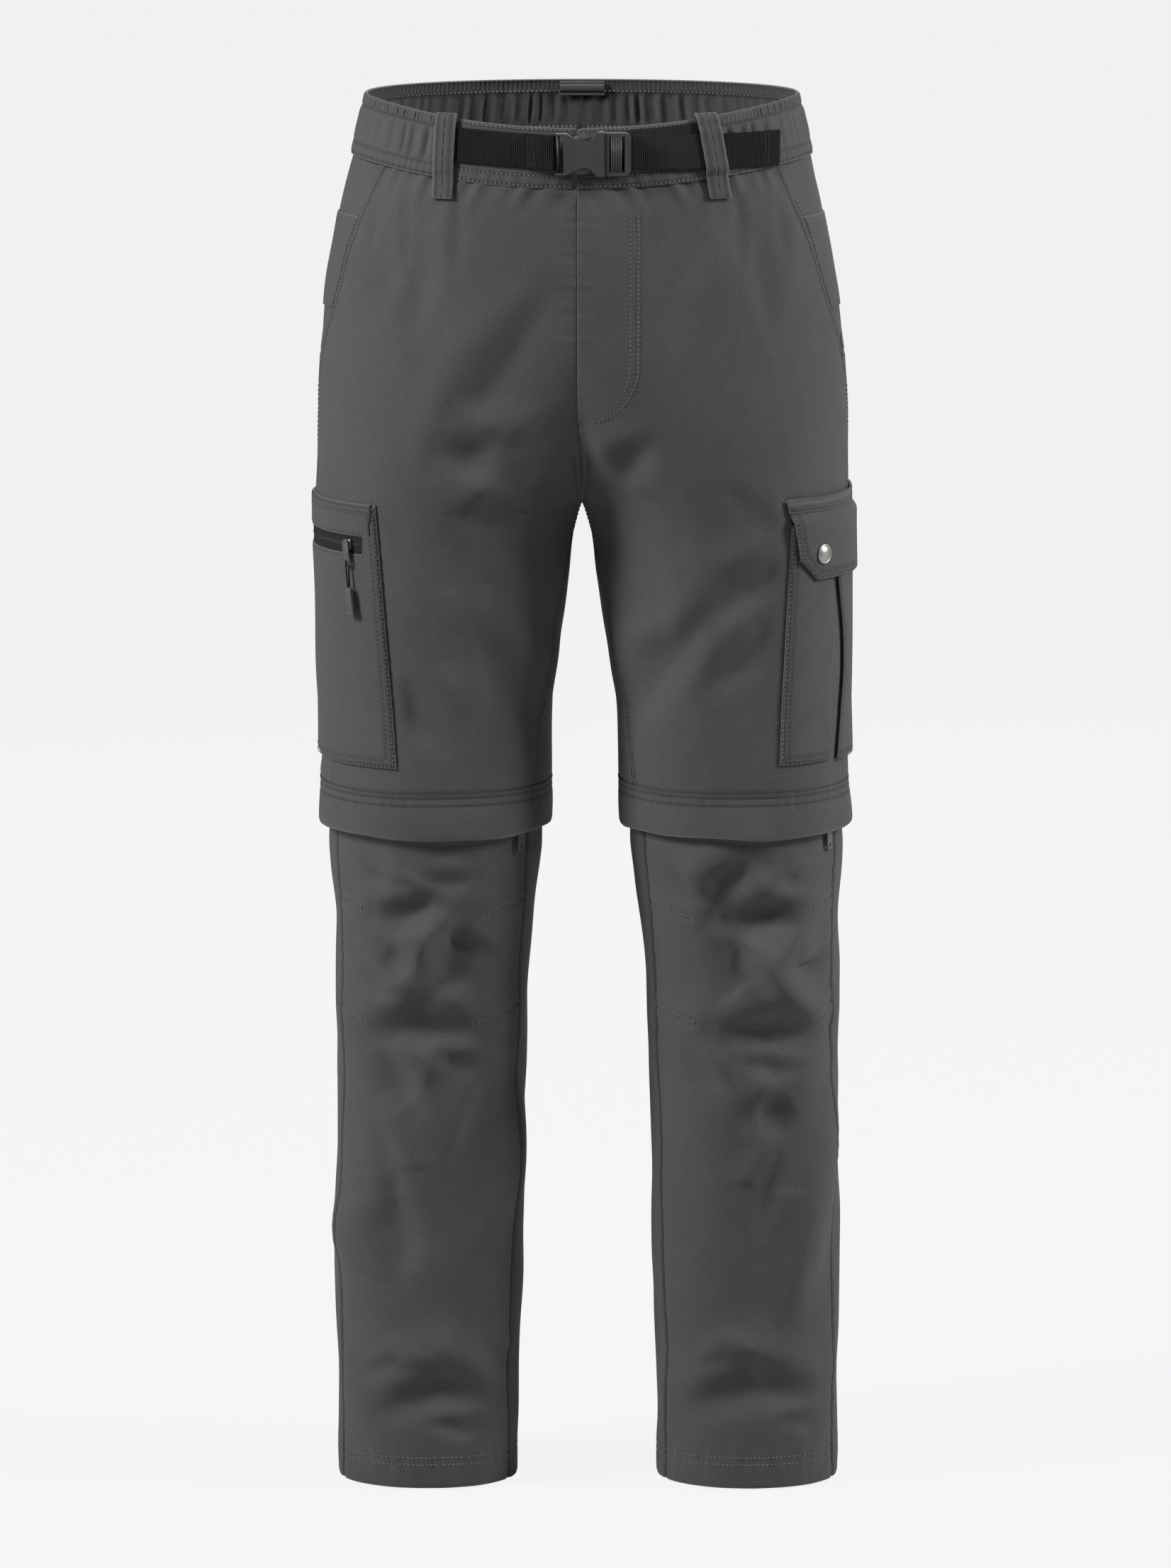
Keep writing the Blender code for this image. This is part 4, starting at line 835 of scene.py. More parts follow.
def finish_sewing(body="trousers"):
    """Makes one piece of beads from all the rows of each seam."""
    total = 0
    for (name, thread), rows in ROWS_SEWN.items():
        bm = bmesh.new()
        for starts, ends, outs in rows:
            for start, end, out in zip(starts, ends, outs):
                way = Vector(end - start)
                side = Vector(out).cross(way).normalized() * (STITCH_WIDTH / 2)
                up = way.cross(side).normalized() * (STITCH_HEIGHT / 2)
                way *= 0.5 * STITCH_LENGTH / max(way.length, 1e-6)
                matrix = Matrix((way, side, up)).transposed().to_4x4()
                matrix.translation = (Vector(start) + Vector(end)) / 2
                bmesh.ops.create_icosphere(bm, subdivisions=1, radius=1.0, matrix=matrix)
                total += 1
        if bm.faces and bm.calc_volume(signed=True) < 0:
            bmesh.ops.reverse_faces(bm, faces=bm.faces)
        add_piece(f"stitches_{name}", bm, thread, body)
    print("stitches:", total, "in", len(ROWS_SEWN), "seams")


def offset_line(points, distance):
    """An open line of (x, z) moved sideways by a distance, with its corners kept."""
    points = np.asarray(points, float)
    ways = np.diff(points, axis=0)
    ways /= np.linalg.norm(ways, axis=1, keepdims=True)
    sides = np.stack([-ways[:, 1], ways[:, 0]], axis=1)
    moved = [points[0] + sides[0] * distance]
    for before, after, point in zip(sides, sides[1:], points[1:]):
        corner = before + after
        moved.append(point + corner * distance / max(0.5 * corner.dot(corner), 0.2))
    moved.append(points[-1] + sides[-1] * distance)
    return np.array(moved)


def dense(points, step=0.002):
    """Points close together along a line of (x, z)."""
    points = np.asarray(points, float)
    run = np.concatenate([[0], np.cumsum(np.linalg.norm(np.diff(points, axis=0), axis=1))])
    at = np.linspace(0, run[-1], max(2, int(run[-1] / step)))
    return np.stack([np.interp(at, run, points[:, k]) for k in range(2)], axis=1)


def away_from(line, x, z):
    """Distance of each (x, z) from a line of points."""
    near = np.full(np.shape(x), 1.0)
    for start, end in zip(np.asarray(line, float), np.asarray(line, float)[1:]):
        run = end - start
        part = np.clip(((x - start[0]) * run[0] + (z - start[1]) * run[1]) / run.dot(run), 0, 1)
        near = np.minimum(near, np.hypot(x - start[0] - part * run[0], z - start[1] - part * run[1]))
    return near


def on_cloth(t, z):
    """Cloth coordinates in metres: length round the leg, and height."""
    return np.stack([np.asarray(t, float) * girth(np.asarray(z, float)), z + 0 * np.asarray(t, float)],
                    axis=-1)


def sew_line(name, half, line, lift=0.0, pitch=STITCH_PITCH, thread="light thread"):
    """A row along a line in cloth coordinates."""
    points = dense(line)
    sew(name, half, points[:, 0] / girth(points[:, 1]), points[:, 1], lift, pitch, thread)


# %% [markdown]
# ## Upper legs
# Two front and two back panels meet at the outseams, the inseams and the centre seams. On the
# real trousers the edges turn under and a double row of stitches holds them flat, so each panel
# rolls down at its edges and has pressed channels under its rows.

# %% Panel grids
def front_edge(z):
    """The front panel's outer edge: the slanted pocket mouth, and the outseam below it."""
    return np.where(z > SLANT_END, along(SLANT, z), along(OUTSEAM, z))


def panel(top, end, t_start, t_end, rows, columns, curved_top=True):
    """Angles and heights between two seams, and the distance to the first, second, top and
    bottom edge."""
    v = crowded(rows, abs(end - top))[:, None]
    steps = EDGE_STEPS[:-1]
    inner = np.linspace(0, 1, columns)
    share = np.concatenate([0 * steps, inner, 1 + 0 * steps])[None, :]
    start_step = np.concatenate([steps, np.full(columns, EDGE_STEPS[-1]), steps[::-1]])[None, :]
    level = top * (1 - v) + end * v + 0 * share
    z = level
    for _ in range(3):
        way = np.sign(t_end(z) - t_start(z)) / girth(z)
        first, last = t_start(z), t_end(z)
        t = (first + way * start_step) * (1 - share) + (last - way * start_step) * share
        if curved_top:
            z = level + (below_band(t[0:1]) - below_band(0.0)) * np.clip(1 - v / 0.4, 0, 1) ** 2
    to_first, to_last = np.abs(t - t_start(z)) * girth(z), np.abs(t_end(z) - t) * girth(z)
    return t, z, (to_first, to_last, z[0:1] - z, z - end)


CROTCH = -0.2835


def meet(points, t, z, to_middle):
    """The halves of the trousers are drawn together on the centre line, down to the crotch."""
    shift = smooth(np.sin(np.radians(t))) ** 3 * smooth((z + 0.27) / 0.07)
    near = smooth(1 - to_middle / 0.006) * smooth((z - CROTCH) / 0.003)
    points[..., 0] += (along(SWAY, z) + CENTRE_SHIFT * shift - points[..., 0]) * near
    return points


# %% Fly
FLY_TURN = -0.168
FLY_LOW = -0.2115
FLY_ROWS = (0.0455, 0.0395)
FLY_FOOT_X = 0.0110


def fly_line(row_x, low):
    """The J of the fly in (distance from the centre, height): straight down, then a quarter round."""
    turns = np.linspace(0, math.pi / 2, 14)
    curve = [(FLY_FOOT_X + (row_x - FLY_FOOT_X) * math.cos(a), FLY_TURN + (low - FLY_TURN) * math.sin(a))
             for a in turns]
    return np.array([(row_x, -0.0560)] + curve)


FLY_LINES = [fly_line(row_x, low) for row_x, low in zip(FLY_ROWS, (FLY_LOW, FLY_LOW + 0.0055))]


# %% Front panels
INSEAM_ROWS = (0.0017, 0.0070)
FLAP_TOP = -0.4955


def under_flap(z):
    """The panels sink a little where the knee flap is sewn on, so that its top lies flush."""
    return -0.0016 * smooth((FLAP_TOP + 0.0010 - z) / 0.0035)


def above_flap(z):
    """1 above the knee flap and 0 under it: the seams lie flat where the flap covers them."""
    return smooth((z - FLAP_TOP) / 0.003)


for side, half in SIDES:
    t, z, (to_side, to_middle, to_top, to_end) = panel(
        below_band(0.0), UPPER_END, front_edge, lambda z: centre(z, "front"), 156, 56)
    slanted = smooth((z - SLANT_END) / 0.004)
    lift = turned(to_side) * above_flap(z) + turned(to_middle, depth=0.0006, width=0.0009)
    lift += turned(to_middle, depth=0.0008) * smooth((-0.288 - z) / 0.006)
    for row in INSEAM_ROWS:
        lift += stitched(to_side - row) * slanted
        lift += stitched(to_middle - row) * smooth((-0.235 - z) / 0.01)
    lift += puckers(z, to_middle) + puckers(z, to_side, 0.00015)
    lift += puckers(t * girth(z), to_top, 0.0007, 0.0120, 0.016)
    lift += under_flap(z) - 0.0004 * smooth(1 - to_top / 0.004)
    if half > 0:
        half_x = form(t, z)[..., 0]
        for line in FLY_LINES:
            lift += stitched(away_from(line, half_x, z), 0.00040, 0.0010)
        lift += 0.0006 * smooth((FLY_ROWS[0] + 0.001 - half_x) / 0.004) * smooth((z - FLY_LOW) / 0.004)
    shell(f"front_cloth_{side}", half, meet(skin(half, t, z, lift), t, z, to_middle), t, z,
          edge=worn_and_lit_edge(to_side, to_middle), replaces=[f"front_panel_{side}"],
          painted_channel_shade=channel(to_side - INSEAM_ROWS[0], to_side - INSEAM_ROWS[1]) * slanted
          + channel(to_middle - INSEAM_ROWS[0], to_middle - INSEAM_ROWS[1]) * smooth((-0.235 - z) / 0.01))

# %% Back panels
SEAT_ROWS = (0.0017, 0.0070)
UNDER_BAND = 0.0045
for side, half in SIDES:
    t, z, (to_side, to_middle, to_top, to_end) = panel(
        below_band(0.0) + UNDER_BAND, UPPER_END, lambda z: along(OUTSEAM, z), lambda z: centre(z, "back"),
        130, 58)
    lift = turned(to_side) * above_flap(z) + turned(to_middle, depth=0.0005, width=0.0009) + under_flap(z)
    lift -= 0.0009 * smooth(1 - (to_top - UNDER_BAND) / 0.0015)
    for row in SEAT_ROWS:
        lift += stitched(to_middle - row) * smooth((z + 0.30) / 0.01)
    lift += puckers(z, to_middle) + puckers(z, to_side, 0.00015)
    lift += puckers(t * girth(z), to_top, 0.0010, 0.0125, 0.022) * smooth(to_top / UNDER_BAND)
    shell(f"back_cloth_{side}", half, meet(skin(half, t, z, lift), t, z, to_middle), t, z,
          edge=worn_and_lit_edge(to_side, to_middle, to_top), replaces=[f"back_panel_{side}"],
          painted_channel_shade=channel(to_middle - SEAT_ROWS[0], to_middle - SEAT_ROWS[1]) * smooth((z + 0.30) / 0.01))

# %% [markdown]
# ## Slanted pockets
# The mouth of each hand pocket shows a facing that sits a little lower, with a small pocket sewn
# on it whose top edge peeps out at the hip.

# %% Slanted pockets
MOUTH_DROP = 0.0024


def mouth_drop(t, z):
    lower = smooth((t - along(OUTSEAM, z)) / (along(SLANT, z) - along(OUTSEAM, z)))
    return MOUTH_DROP * np.maximum(lower, smooth((-0.145 - z) / 0.02))


for side, half in SIDES:
    t, z, (to_side, to_middle, to_top, to_end) = panel(
        below_band(0.0), SLANT_END, lambda z: along(OUTSEAM, z), lambda z: along(SLANT, z) + 3.5, 34, 10)
    lift = -mouth_drop(t, z) + turned(to_side)
    shell(f"facing_cloth_{side}", half, skin(half, t, z, lift), t, z, edge=worn_and_lit_edge(to_side),
          replaces=[f"hip_facing_{side}"])
    t, z, (to_side, to_middle, to_top, to_end) = panel(
        -0.064, -0.135, lambda z: along(OUTSEAM, z) + 4.5, lambda z: along(SLANT, z) - 0.6, 16, 8, False)
    lift = 0.0014 - mouth_drop(t, z) + turned(to_side, to_top, depth=0.0008)
    shell(f"hip_pocket_cloth_{side}", half, skin(half, t, z, lift), t, z, thickness=0.0009,
          edge=worn_and_lit_edge(to_side, to_top), replaces=[f"hip_pocket_{side}"])

# %% Rows on the upper legs
for side, half in SIDES:
    heights = np.linspace(-0.052, SLANT_END + 0.002, 120)
    for row in INSEAM_ROWS:
        sew(f"slant_{side}", half, along(SLANT, heights) + row / girth(heights), heights, 0.00005,
            thread="grey thread")
    heights = np.linspace(-0.262, UPPER_END + 0.012, 160)
    for row in INSEAM_ROWS:
        sew(f"inseam_{side}", half, centre(heights, "front") - row / girth(heights), heights, 0.00005,
            thread="grey thread")
    heights = np.linspace(-0.026, -0.262, 160)
    for row in SEAT_ROWS:
        sew(f"seat_{side}", half, centre(heights, "back") + row / girth(heights), heights, 0.00005,
            thread="grey thread")
    heights = np.linspace(-0.196, POCKET_TOP + 0.001, 60)
    sew(f"outseam_{side}", half, along(OUTSEAM, heights) - 0.0020 / girth(heights), heights, 0.00005,
        thread="grey thread")
    heights = np.full(12, -0.071)
    width = np.linspace(along(OUTSEAM, -0.071) + 6, along(SLANT, -0.071) - 1.5, 12)
    for drop in (0.0, 0.0055):
        sew(f"hip_pocket_{side}", half, width, heights - drop, 0.0015 - mouth_drop(width, heights - drop),
            thread="grey thread")
for line in FLY_LINES:
    points = dense(line)
    sew("fly", 1, front_x(points[:, 0], points[:, 1]), points[:, 1], 0.00055, thread="grey thread")
heights = np.linspace(-0.054, -0.232, 140)
sew("fly", 1, centre(heights, "front") - 0.0020 / girth(heights), heights, 0.00045, thread="grey thread")
heights = np.linspace(-0.214, -0.262, 60)
for row in (0.0060,):
    sew("fly", 1, centre(heights, "front") - row / girth(heights), heights, 0.00005, thread="grey thread")

# %% [markdown]
# ## Lower legs
# The shins hang from the knee zip. Short darts at both sides of the knee shape it; each is a
# seam line that presses a thin valley into the front panel. The hem is turned up and held by
# two rows of stitches.

# %% Lower legs
SHIN_DROP = 0.0022
HEM_ROWS = (0.0185, 0.0240)
DARTS = {
    "right": ((-0.1856, -0.5810, -0.1658, -0.5872), (-0.1848, -0.6640, -0.1670, -0.6746),
              (-0.0429, -0.5834, -0.0711, -0.5897), (-0.0473, -0.6662, -0.0782, -0.6760)),
    "left": ((0.0515, -0.5856, 0.0845, -0.5940), (0.0559, -0.6678, 0.0853, -0.6760),
             (0.1925, -0.5812, 0.1712, -0.5889), (0.1918, -0.6623, 0.1730, -0.6762)),
}


def dart_line(half, dart):
    """A dart as angles and heights, from its seen ends in the front view."""
    x1, z1, x2, z2 = dart
    z = np.linspace(z1, z2, 12)
    x = np.linspace(x1, x2, 12)
    return front_x(half * (x - along(SWAY, z)), z), z


for side, half in SIDES:
    sides = (("front", lambda z: along(OUTSEAM, z), lambda z: along(INSEAM, z), 58),
             ("back", lambda z: along(OUTSEAM, z), lambda z: along(INSEAM, z) - 360, 52))
    for face, start, end, columns in sides:
        t, z, (to_side, to_middle, to_top, to_end) = panel(ZIP_END - SEAM, HEM, start, end, 170, columns,
                                                           False)
        lift = -SHIN_DROP * (1 - smooth((ZIP_END - z) / 0.03))
        lift += turned(to_side, to_middle, depth=0.0020, width=0.0019)
        lift += turned(to_end, depth=0.0006, width=0.0014)
        for row in HEM_ROWS:
            lift += stitched(to_end - row, 0.00035, 0.0010)
        lift += puckers(t * girth(z), to_end - 0.020, 0.00030, 0.0100, 0.012)
        lift += puckers(z, to_side, 0.00020, 0.0110) + puckers(z, to_middle, 0.00020, 0.0110)
        if face == "front":
            for dart in DARTS[side]:
                dart_t, dart_z = dart_line(half, dart)
                near = away_from(on_cloth(dart_t, dart_z), t * girth(z), z)
                lift += -0.0010 * np.exp(-((near / 0.0016) ** 2)) + 0.0007 * np.exp(-(((near - 0.005) / 0.004) ** 2))
        shell(f"shin_{face}_cloth_{side}", half, skin(half, t, z, lift), t, z,
              edge=worn_and_lit_edge(to_end), replaces=[f"shin_{face}_{side}"],
              painted_channel_shade=channel(to_side, to_middle, strength=0.95, width=0.0015))
    turn = np.linspace(0, 360, 500)
    for row in HEM_ROWS:
        sew(f"hem_{side}", half, turn, HEM + row, -0.00005, thread="light thread")
    for dart in DARTS[side]:
        dart_t, dart_z = dart_line(half, dart)
        sew(f"dart_seams_{side}", half, dart_t, dart_z, -0.0009, 0.0015, "black thread")
        sew(f"darts_{side}", half, dart_t, dart_z + 0.0018, 0.0002, 0.0026)
        bar_z = dart_z[-1] + np.linspace(-0.0020, 0.0022, 4)
        sew(f"darts_{side}", half, dart_t[-1] + 0 * bar_z, bar_z, 0.0003, 0.0010)

# %% [markdown]
# ## Knee zip and its flap
# A zip runs right round each leg, so that the shin can come off. A flap of the upper leg's cloth
# covers it: it is sewn flat with two rows and flares a few millimetres towards its free edge.

# %% Storm flaps
FLAP_EDGE = -0.5300
FLAP_ROWS = ((FLAP_TOP, -0.0020), (-0.5020, -0.0018), (-0.5080, -0.0009), (-0.5160, 0.0002), (-0.5230, 0.0008),
             (FLAP_EDGE, 0.0012))
FLAP_THICK = 0.0011
KNEE_ROWS = (0.0040, 0.0100)
FLAP_STEPS = np.concatenate([[0, 0.0005, 0.0012, 0.0022, 0.0031], 0.0040 + np.array([-4, 0, 4]) * 1e-4,
                             [0.0050, 0.0064, 0.0080, 0.0091], 0.0100 + np.array([-4, 0, 4]) * 1e-4,
                             np.linspace(0.0112, 0.0310, 14), [0.0325, 0.0335, 0.0341, 0.0345]])
for side, half in SIDES:
    turn = np.linspace(0, 360, 241)[None, :]
    down = FLAP_STEPS[:, None] / FLAP_STEPS[-1]
    angle = np.radians(turn)
    wavy = 0.0007 * np.sin(3 * angle + 0.6 + half) + 0.0004 * np.sin(7 * angle + 1.9)
    z = FLAP_TOP + (FLAP_EDGE - FLAP_TOP) * down + wavy * smooth((down - 0.36) / 0.6)
    stand = along(FLAP_ROWS, z) + FLAP_THICK
    flare = 0.0005 * np.sin(4 * angle + half) + 0.0004 * np.sin(9 * angle + 0.7)
    lift = stand + flare * down + turned(z - z[-1:], depth=0.0005)
    for row in KNEE_ROWS:
        lift += stitched(FLAP_TOP - z - row, 0.0004, 0.0010)
    lift += puckers(turn * girth(z), FLAP_TOP - z - 0.007, 0.00025, 0.0090, 0.008)
    shell(f"storm_flap_cloth_{side}", half, skin(half, turn + 0 * z, z, lift), turn + 0 * z, z,
          edge=worn_and_lit_edge(z - z[-1:]), thickness=FLAP_THICK,
          painted_channel_shade=channel(FLAP_TOP - z - KNEE_ROWS[0], FLAP_TOP - z - KNEE_ROWS[1], FLAP_TOP - z),
          replaces=[f"storm_flap_{side}"])
    turn = np.linspace(0, 360, 500)
    for row in KNEE_ROWS:
        height = FLAP_TOP - row + 0 * turn
        sew(f"knee_{side}", half, turn, height, along(FLAP_ROWS, height) + FLAP_THICK - 0.0002,
            thread="grey thread")

# %% [markdown]
# ## Waistband
# The front is flat and topstitched. From the belt loops round the back it is gathered on
# elastic: a narrow ribbed channel along the top, softer gathers under it, and a flat stitched
# band at the bottom. The same gathers show inside, because the band is one wall.

# %% Waistband sizes
BAND_WALL = 0.0020
LOOP_X = 0.098
CHANNEL = 0.0085
FOOT = 0.0095
BAND_ROWS = (0.0018, 0.0090)


def band_rise(length, depth):
    """Gathers of the elastic part: length along the band and depth below its top, in metres."""
    shift = 0.9 * np.sin(length * 61.0) + 0.6 * np.sin(length * 143.0 + 1.0)
    fine = np.sin(2 * math.pi * length / 0.0036 + 0.5 * shift)
    broad = np.sin(2 * math.pi * length / 0.0108 + 1.6 * shift) + 0.35 * np.sin(2 * math.pi * length / 0.0067 + shift)
    strength = 0.75 + 0.35 * np.sin(length * 47.0 + 0.8)
    in_channel = smooth((CHANNEL - depth) / 0.002) * smooth(depth / 0.0015)
    between = smooth((depth - CHANNEL) / 0.006) * smooth((BAND_HEIGHT - FOOT * 0.6 - depth) / 0.012)
    foot = smooth((depth - BAND_HEIGHT + FOOT + 0.002) / 0.004)
    rise = 0.00062 * fine * in_channel + 0.00095 * broad * strength * between
    rise += 0.00030 * np.sin(2 * math.pi * length / 0.0055 + shift) * foot
    return rise - 0.0006 * np.exp(-(((depth - CHANNEL) / 0.0011) ** 2))


# %% Waistband
OVERLAP = 0.0022
CORNER_RADIUS = 0.0080
for side, half in SIDES:
    loop_t = front_x(LOOP_X, -0.02)
    down = crowded(22, BAND_HEIGHT)[:, None]
    over = OVERLAP if half > 0 else -0.0005
    steps = crowded(34, 0.10)[None, :]
    t_end = centre(np.array(-0.01), "front") + over / girth(-0.01)
    t = t_end * (1 - steps) + (loop_t - 0.05) * steps + 0 * down
    to_middle = np.abs(t - t_end) * girth(-0.01)
    depth = BAND_HEIGHT * down + 0 * t
    top = band_top(t)
    if half > 0:
        into = np.clip(1 - to_middle / CORNER_RADIUS, 0, 1)
        top = top - CORNER_RADIUS * 0.7 * (1 - np.sqrt(1 - into**2))
    bottom = band_top(t) - BAND_HEIGHT
    z = top * (1 - down) + bottom * down
    lift = BAND_WALL / 2 + (0.0010 if half > 0 else 0) + turned(top - z, z - bottom, to_middle, depth=0.0009)
    for row in BAND_ROWS:
        lift += stitched(z - bottom - row, 0.0004, 0.0010)
    lift += stitched(top - z - 0.0022, 0.0003)
    lift += puckers(t * girth(-0.02), z - bottom - 0.0055, 0.00030, 0.0070, 0.006)
    shell(f"waistband_front_cloth_{side}", half, skin(half, t, z, lift), t, z,
          edge=worn_and_lit_edge(top - z, z - bottom, to_middle), thickness=0.0018,
          painted_channel_shade=channel(z - bottom - BAND_ROWS[0], z - bottom - BAND_ROWS[1], top - z - 0.0022),
          replaces=[f"waistband_front_{side}"])
    line_t = np.linspace(float(t_end) - (0.0020 / float(girth(-0.01))), float(loop_t) + 0.6, 160)
    for row in BAND_ROWS:
        sew("waistband", half, line_t, band_top(line_t) - BAND_HEIGHT + row,
            BAND_WALL / 2 + (0.0010 if half > 0 else 0) - 0.0001)
    near = np.clip(1 - np.abs(line_t - t_end) * girth(-0.01) / (CORNER_RADIUS + 0.002), 0, 1)
    drop = CORNER_RADIUS * 0.8 * (1 - np.sqrt(1 - near**2)) if half > 0 else 0.0
    sew("waistband", half, line_t, band_top(line_t) - 0.0022 - drop,
        BAND_WALL / 2 + (0.0010 if half > 0 else 0) - 0.0001)

    steps = np.linspace(0, 1, 300)[None, :]
    down = crowded(19, BAND_HEIGHT)[:, None]
    t = (loop_t + 0.05) * (1 - steps) - 90.0 * steps + 0 * down
    z = band_top(t) - BAND_HEIGHT * down
    t = np.where(steps == 1, centre(z, "back"), t)
    run = lengths(skin(half, t, z, 0.0), 1)
    depth = band_top(t) - z
    ends = smooth(run / 0.006) * smooth((run[:, -1:] - run) / 0.004)
    lift = 0.0008 + band_rise(run[:1] + 0 * run, depth) * ends + turned(depth, BAND_HEIGHT - depth, depth=0.0007)
    for row in BAND_ROWS:
        lift += stitched(BAND_HEIGHT - depth - row, 0.0003, 0.0010)
    points = meet(skin(half, t, z, lift), t, z, run[:, -1:] - run)
    shell(f"waistband_back_cloth_{side}", half, points, t, z,
          edge=worn_and_lit_edge(depth, BAND_HEIGHT - depth), thickness=0.0016,
          painted_channel_shade=channel(BAND_HEIGHT - depth - BAND_ROWS[0], BAND_HEIGHT - depth - BAND_ROWS[1],
                       depth - CHANNEL),
          replaces=[f"waistband_back_{side}"])
    line_t = np.linspace(float(loop_t) - 0.6, -89.5, 420)
    for row in BAND_ROWS:
        sew("waistband", half, line_t, band_top(line_t) - BAND_HEIGHT + row, 0.00065)
    sew("waistband", half, line_t, band_top(line_t) - CHANNEL, 0.00025, thread="grey thread")
    sew("waistband_inside", half, line_t, band_top(line_t) - CHANNEL, -0.0015, thread="grey thread")
    for row in BAND_ROWS:
        sew("waistband_inside", half, line_t, band_top(line_t) - BAND_HEIGHT + row, -0.0010)

# %% [markdown]
# ## Patch at the centre back
# A small rectangle of cloth is sewn inside the waistband at the centre back.

# %% Back patch
PATCH_WIDTH = 0.0340
PATCH_HEIGHT = 0.0110
patch_low, patch_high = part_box("back_patch")
across = crowded(12, PATCH_WIDTH)[None, :]
down = crowded(5, PATCH_HEIGHT)[:, None]
x = patch_low.x + (patch_high.x - patch_low.x) * across + 0 * down
z = patch_high.z + (patch_low.z - patch_high.z) * down + 0 * across
angle = 360 - front_x(np.abs(x), z)
depth = skin(1, angle, z, -BAND_WALL / 2 - 0.0011)[..., 1]
patch = np.stack([x, depth - 0.0004, z], axis=-1)
shell("back_patch_cloth", 1, patch, angle, z, edge=worn_and_lit_edge(patch_high.z - z, z - patch_low.z),
      material="charcoal cloth", thickness=0.0007, replaces=["back_patch"])

# %% [markdown]
# ## Belt loops
# Two folded strips of the same cloth hold the belt. Each is sewn to the top of the waistband,
# bridges the webbing and is sewn down again on the trousers, with a row of stitches along both
# edges and a short dense row, a bartack, across each end.

# %% Belt loops
LOOP_WIDTH = 0.0150
LOOP_TOP = 0.0165
LOOP_END = -0.0460
LOOP_STEPS = (0.0165, 0.0132, 0.0075, 0.0040, -0.0050, -0.0140, -0.0250, -0.0290, -0.0460)
LOOP_LIFT = {"right": (0.0026, 0.0042, 0.0050, 0.0050, 0.0050, 0.0050, 0.0046, 0.0030, 0.0026),
             "left": (0.0026, 0.0050, 0.0058, 0.0070, 0.0070, 0.0070, 0.0070, 0.0034, 0.0026)}
LOOP_LEAN = {"right": (-0.0016, 0.0020), "left": (-0.0045, 0.0068)}
LOOP_ROW = 0.0028


def loop_place(side, across, z):
    """Angle and lift of a belt loop, from metres across it and height."""
    lean = np.interp(z, (LOOP_END, LOOP_TOP), LOOP_LEAN[side][::-1])
    rise = np.interp(z, LOOP_STEPS[::-1], LOOP_LIFT[side][::-1])
    return front_x(LOOP_X + across + lean, z), rise


for side, half in SIDES:
    across = LOOP_WIDTH * (crowded(9, LOOP_WIDTH)[None, :] - 0.5)
    z = LOOP_TOP + (LOOP_END - LOOP_TOP) * crowded(34, LOOP_TOP - LOOP_END)[:, None] + 0 * across
    across = across + 0 * z
    t, lift = loop_place(side, across, z)
    to_edge = LOOP_WIDTH / 2 - np.abs(across)
    lift = lift + turned(to_edge, z - LOOP_END, LOOP_TOP - z, depth=0.0008, width=0.0010)
    lift += stitched(to_edge - LOOP_ROW, 0.00035, 0.0008)
    lift += 0.00025 * np.sin(2 * math.pi * z / 0.011 + half) * np.exp(-((to_edge / 0.004) ** 2))
    shell(f"belt_loop_cloth_{side}", half, skin(half, t, z, lift), t, z,
          edge=worn_and_lit_edge(to_edge, z - LOOP_END), thickness=0.0012, replaces=[f"belt_loop_{side}"],
          painted_channel_shade=channel(to_edge - LOOP_ROW))
    z = np.linspace(LOOP_TOP - 0.002, LOOP_END + 0.002, 60)
    for edge in (-1, 1):
        t, lift = loop_place(side, edge * (LOOP_WIDTH / 2 - LOOP_ROW) + 0 * z, z)
        sew(f"loops_{side}", half, t, z, lift - 0.0003)
    across = np.linspace(-LOOP_WIDTH / 2 + 0.0018, LOOP_WIDTH / 2 - 0.0018, 12)
    for height in (LOOP_TOP - 0.0034, LOOP_END + 0.0028):
        t, lift = loop_place(side, across, height + 0 * across)
        sew(f"loops_{side}", half, t, height + 0 * across, lift + 0.00005, 0.0017)

# %% [markdown]
# ## Belt
# The belt is 26 mm webbing with fine ribs across it. One end is folded round the bar of the
# buckle's socket and sewn down; the other goes through the ladder-lock of the insert, along the
# waistband under its loop, and ends in a folded and sewn tip.

# %% Webbing
WEBBING = 0.0260
STRAP_THICK = 0.0014
BELT_LIFT = 0.0018
STRAP_END_X = 0.1450
TIP_LENGTH = 0.0140
BUCKLE_BACK = -0.1172
BUCKLE_MIDDLE = -0.0108


def strap(name, half, xs, middle_z, lift, replaces, width=WEBBING):
    """Webbing along the front of a half, from distances, heights and lifts of its centre line."""
    across = crowded(7, width)[:, None]
    z = middle_z[None, :] + width * (0.5 - across)
    t = front_x(xs[None, :] + 0 * z, z)
    to_edge = width * np.minimum(across, 1 - across) + 0 * z
    high = lift[None, :] + turned(to_edge, depth=0.0004, width=0.0006)
    points = skin(half, t, z, high)
    shell(name, half, points, t, z, edge=0.5 * worn_and_lit_edge(to_edge, width=0.0006), material="webbing",
          thickness=STRAP_THICK, replaces=replaces)


def lift_at(half, xs, y):
    """The lift at which the belt's centre line lies at depth y."""
    z = BUCKLE_MIDDLE + 0 * xs
    return skin(half, front_x(xs, z), z, 0.0)[..., 1] - y


def sew_across(name, half, x, middle_z, lift, inset=0.0016):
    z = np.linspace(middle_z - WEBBING / 2 + inset, middle_z + WEBBING / 2 - inset, 24)
    sew(name, half, front_x(x + 0 * z, z), z, lift, 0.0021, "black thread")


